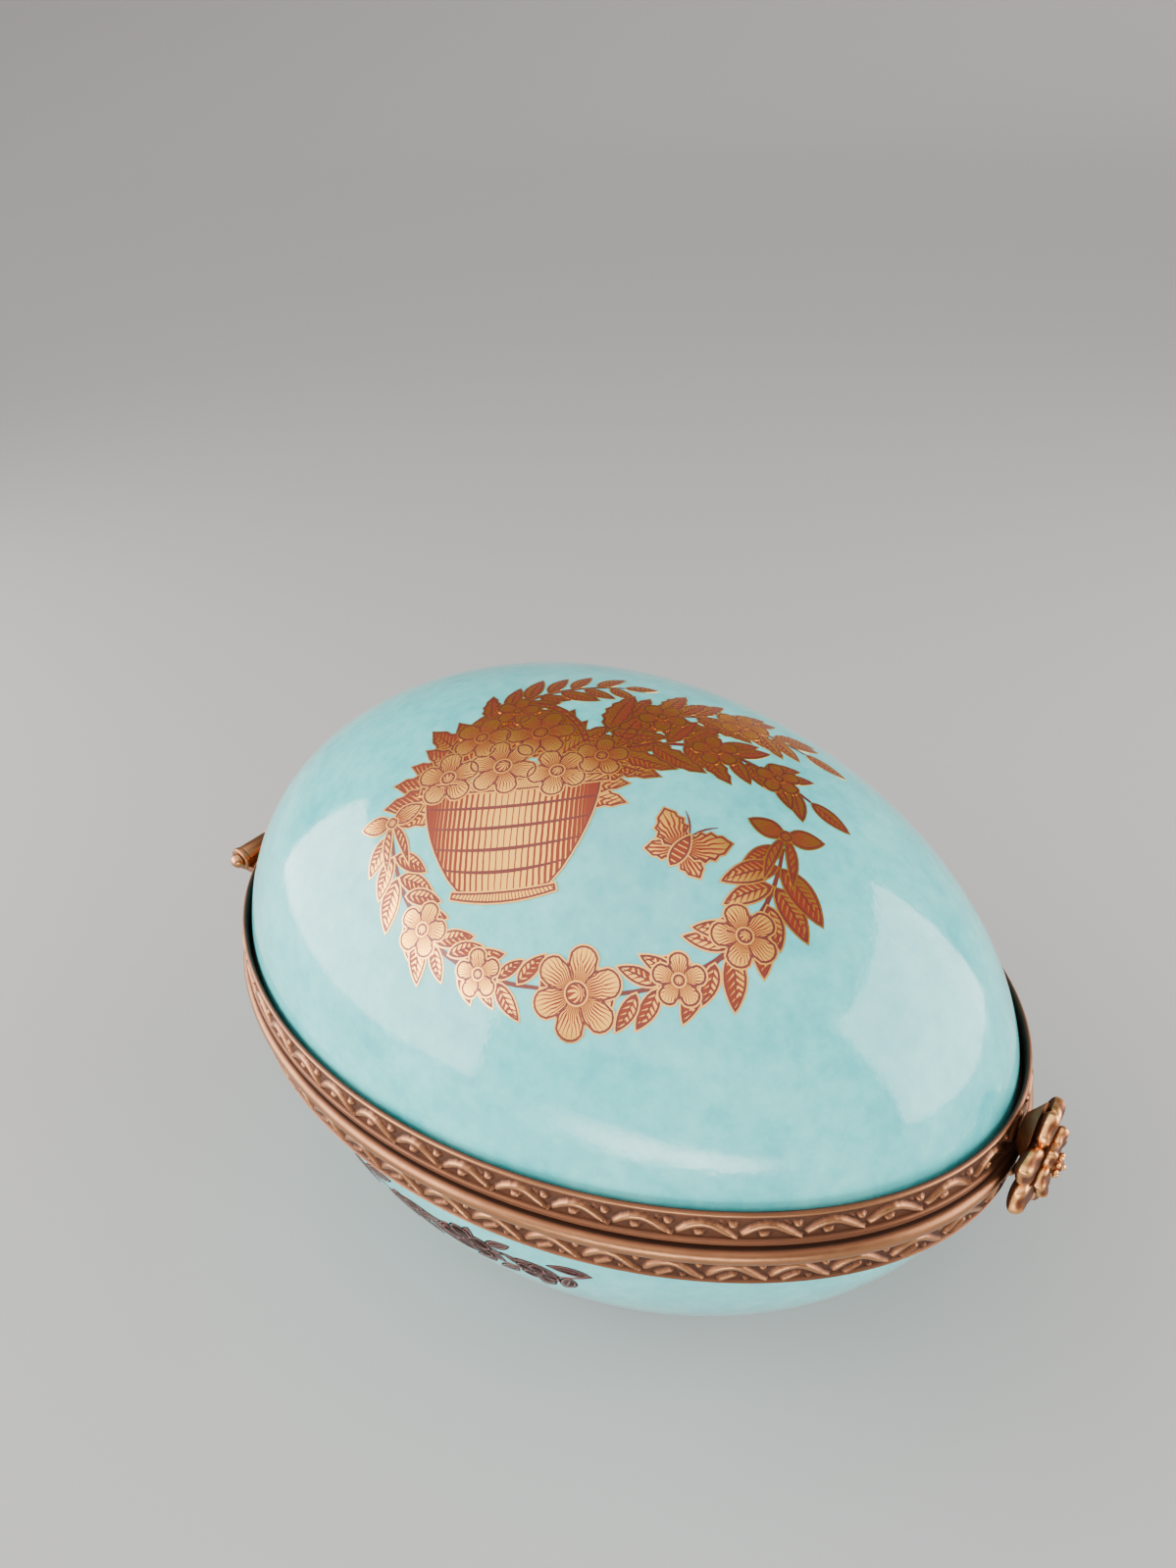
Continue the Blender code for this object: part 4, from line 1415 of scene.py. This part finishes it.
def build():
    mottle = make_mottle_group()
    patina = make_patina_group()
    engraving = make_engraving_group()
    body = (0.180, 0.720, 0.710, 1.0)
    deep = (0.050, 0.470, 0.510, 1.0)
    turquoise = make_glaze("turquoise_glaze", mottle, body, deep, (0.08, 0.14, 0.13, 1.0), 0.6)
    body = (0.86, 0.86, 0.83, 1.0)
    deep = (0.80, 0.80, 0.77, 1.0)
    white = make_glaze("white_glaze", mottle, body, deep, (0.4, 0.38, 0.35, 1.0), 0.3)
    # Brass tones run from recess (patina and painted shade) through body to high (painted highlight).
    tones = ((0.030, 0.012, 0.008, 1.0), (0.19, 0.075, 0.038, 1.0), (0.48, 0.225, 0.105, 1.0))
    old_brass = make_brass("old_brass", patina, *tones, 0.35, 0.03)
    tones = ((0.035, 0.012, 0.007, 1.0), (0.22, 0.075, 0.030, 1.0), (0.80, 0.38, 0.14, 1.0))
    gilt_brass = make_brass("gilt_brass", patina, *tones, 0.50, 0.10)
    tones = ((1.00, 0.49, 0.10, 1.0), (0.24, 0.035, 0.02, 1.0))
    gilding = make_gilding("fired_gilding", engraving, *tones, 1.45, (1.0, 0.75, 0.5, 1.0))
    # The bowl's gilding is the same gold film darkened to brown, with a dark edge tint, as painted shade on
    # the lower bowl.
    tones = ((0.13, 0.042, 0.026, 1.0), (0.06, 0.011, 0.009, 1.0))
    shaded_bowl_gilding = make_gilding("shaded_bowl_gilding", engraving, *tones, 1.2, (0.2, 0.08, 0.06, 1.0))
    ink = make_ink("maroon_ink", mottle)
    make_shells(turquoise, white)
    make_lid_picture(gilding, ink)
    heading = Vector((2.5, -18.0, -7.0))
    make_bowl_picture(shaded_bowl_gilding, ink, "bowl_gilding_near", heading, X_AXIS, 11)
    heading = Vector((-2.5, 18.0, -7.0))
    make_bowl_picture(shaded_bowl_gilding, ink, "bowl_gilding_far", heading, -X_AXIS, 12)
    make_lid_rim(old_brass)
    make_base_rim(old_brass)
    make_lid_leaf(old_brass)
    make_base_leaf(old_brass)
    make_pin(old_brass)
    make_blossom(gilt_brass)
    make_stage()
    make_lights()
    make_camera()


build()
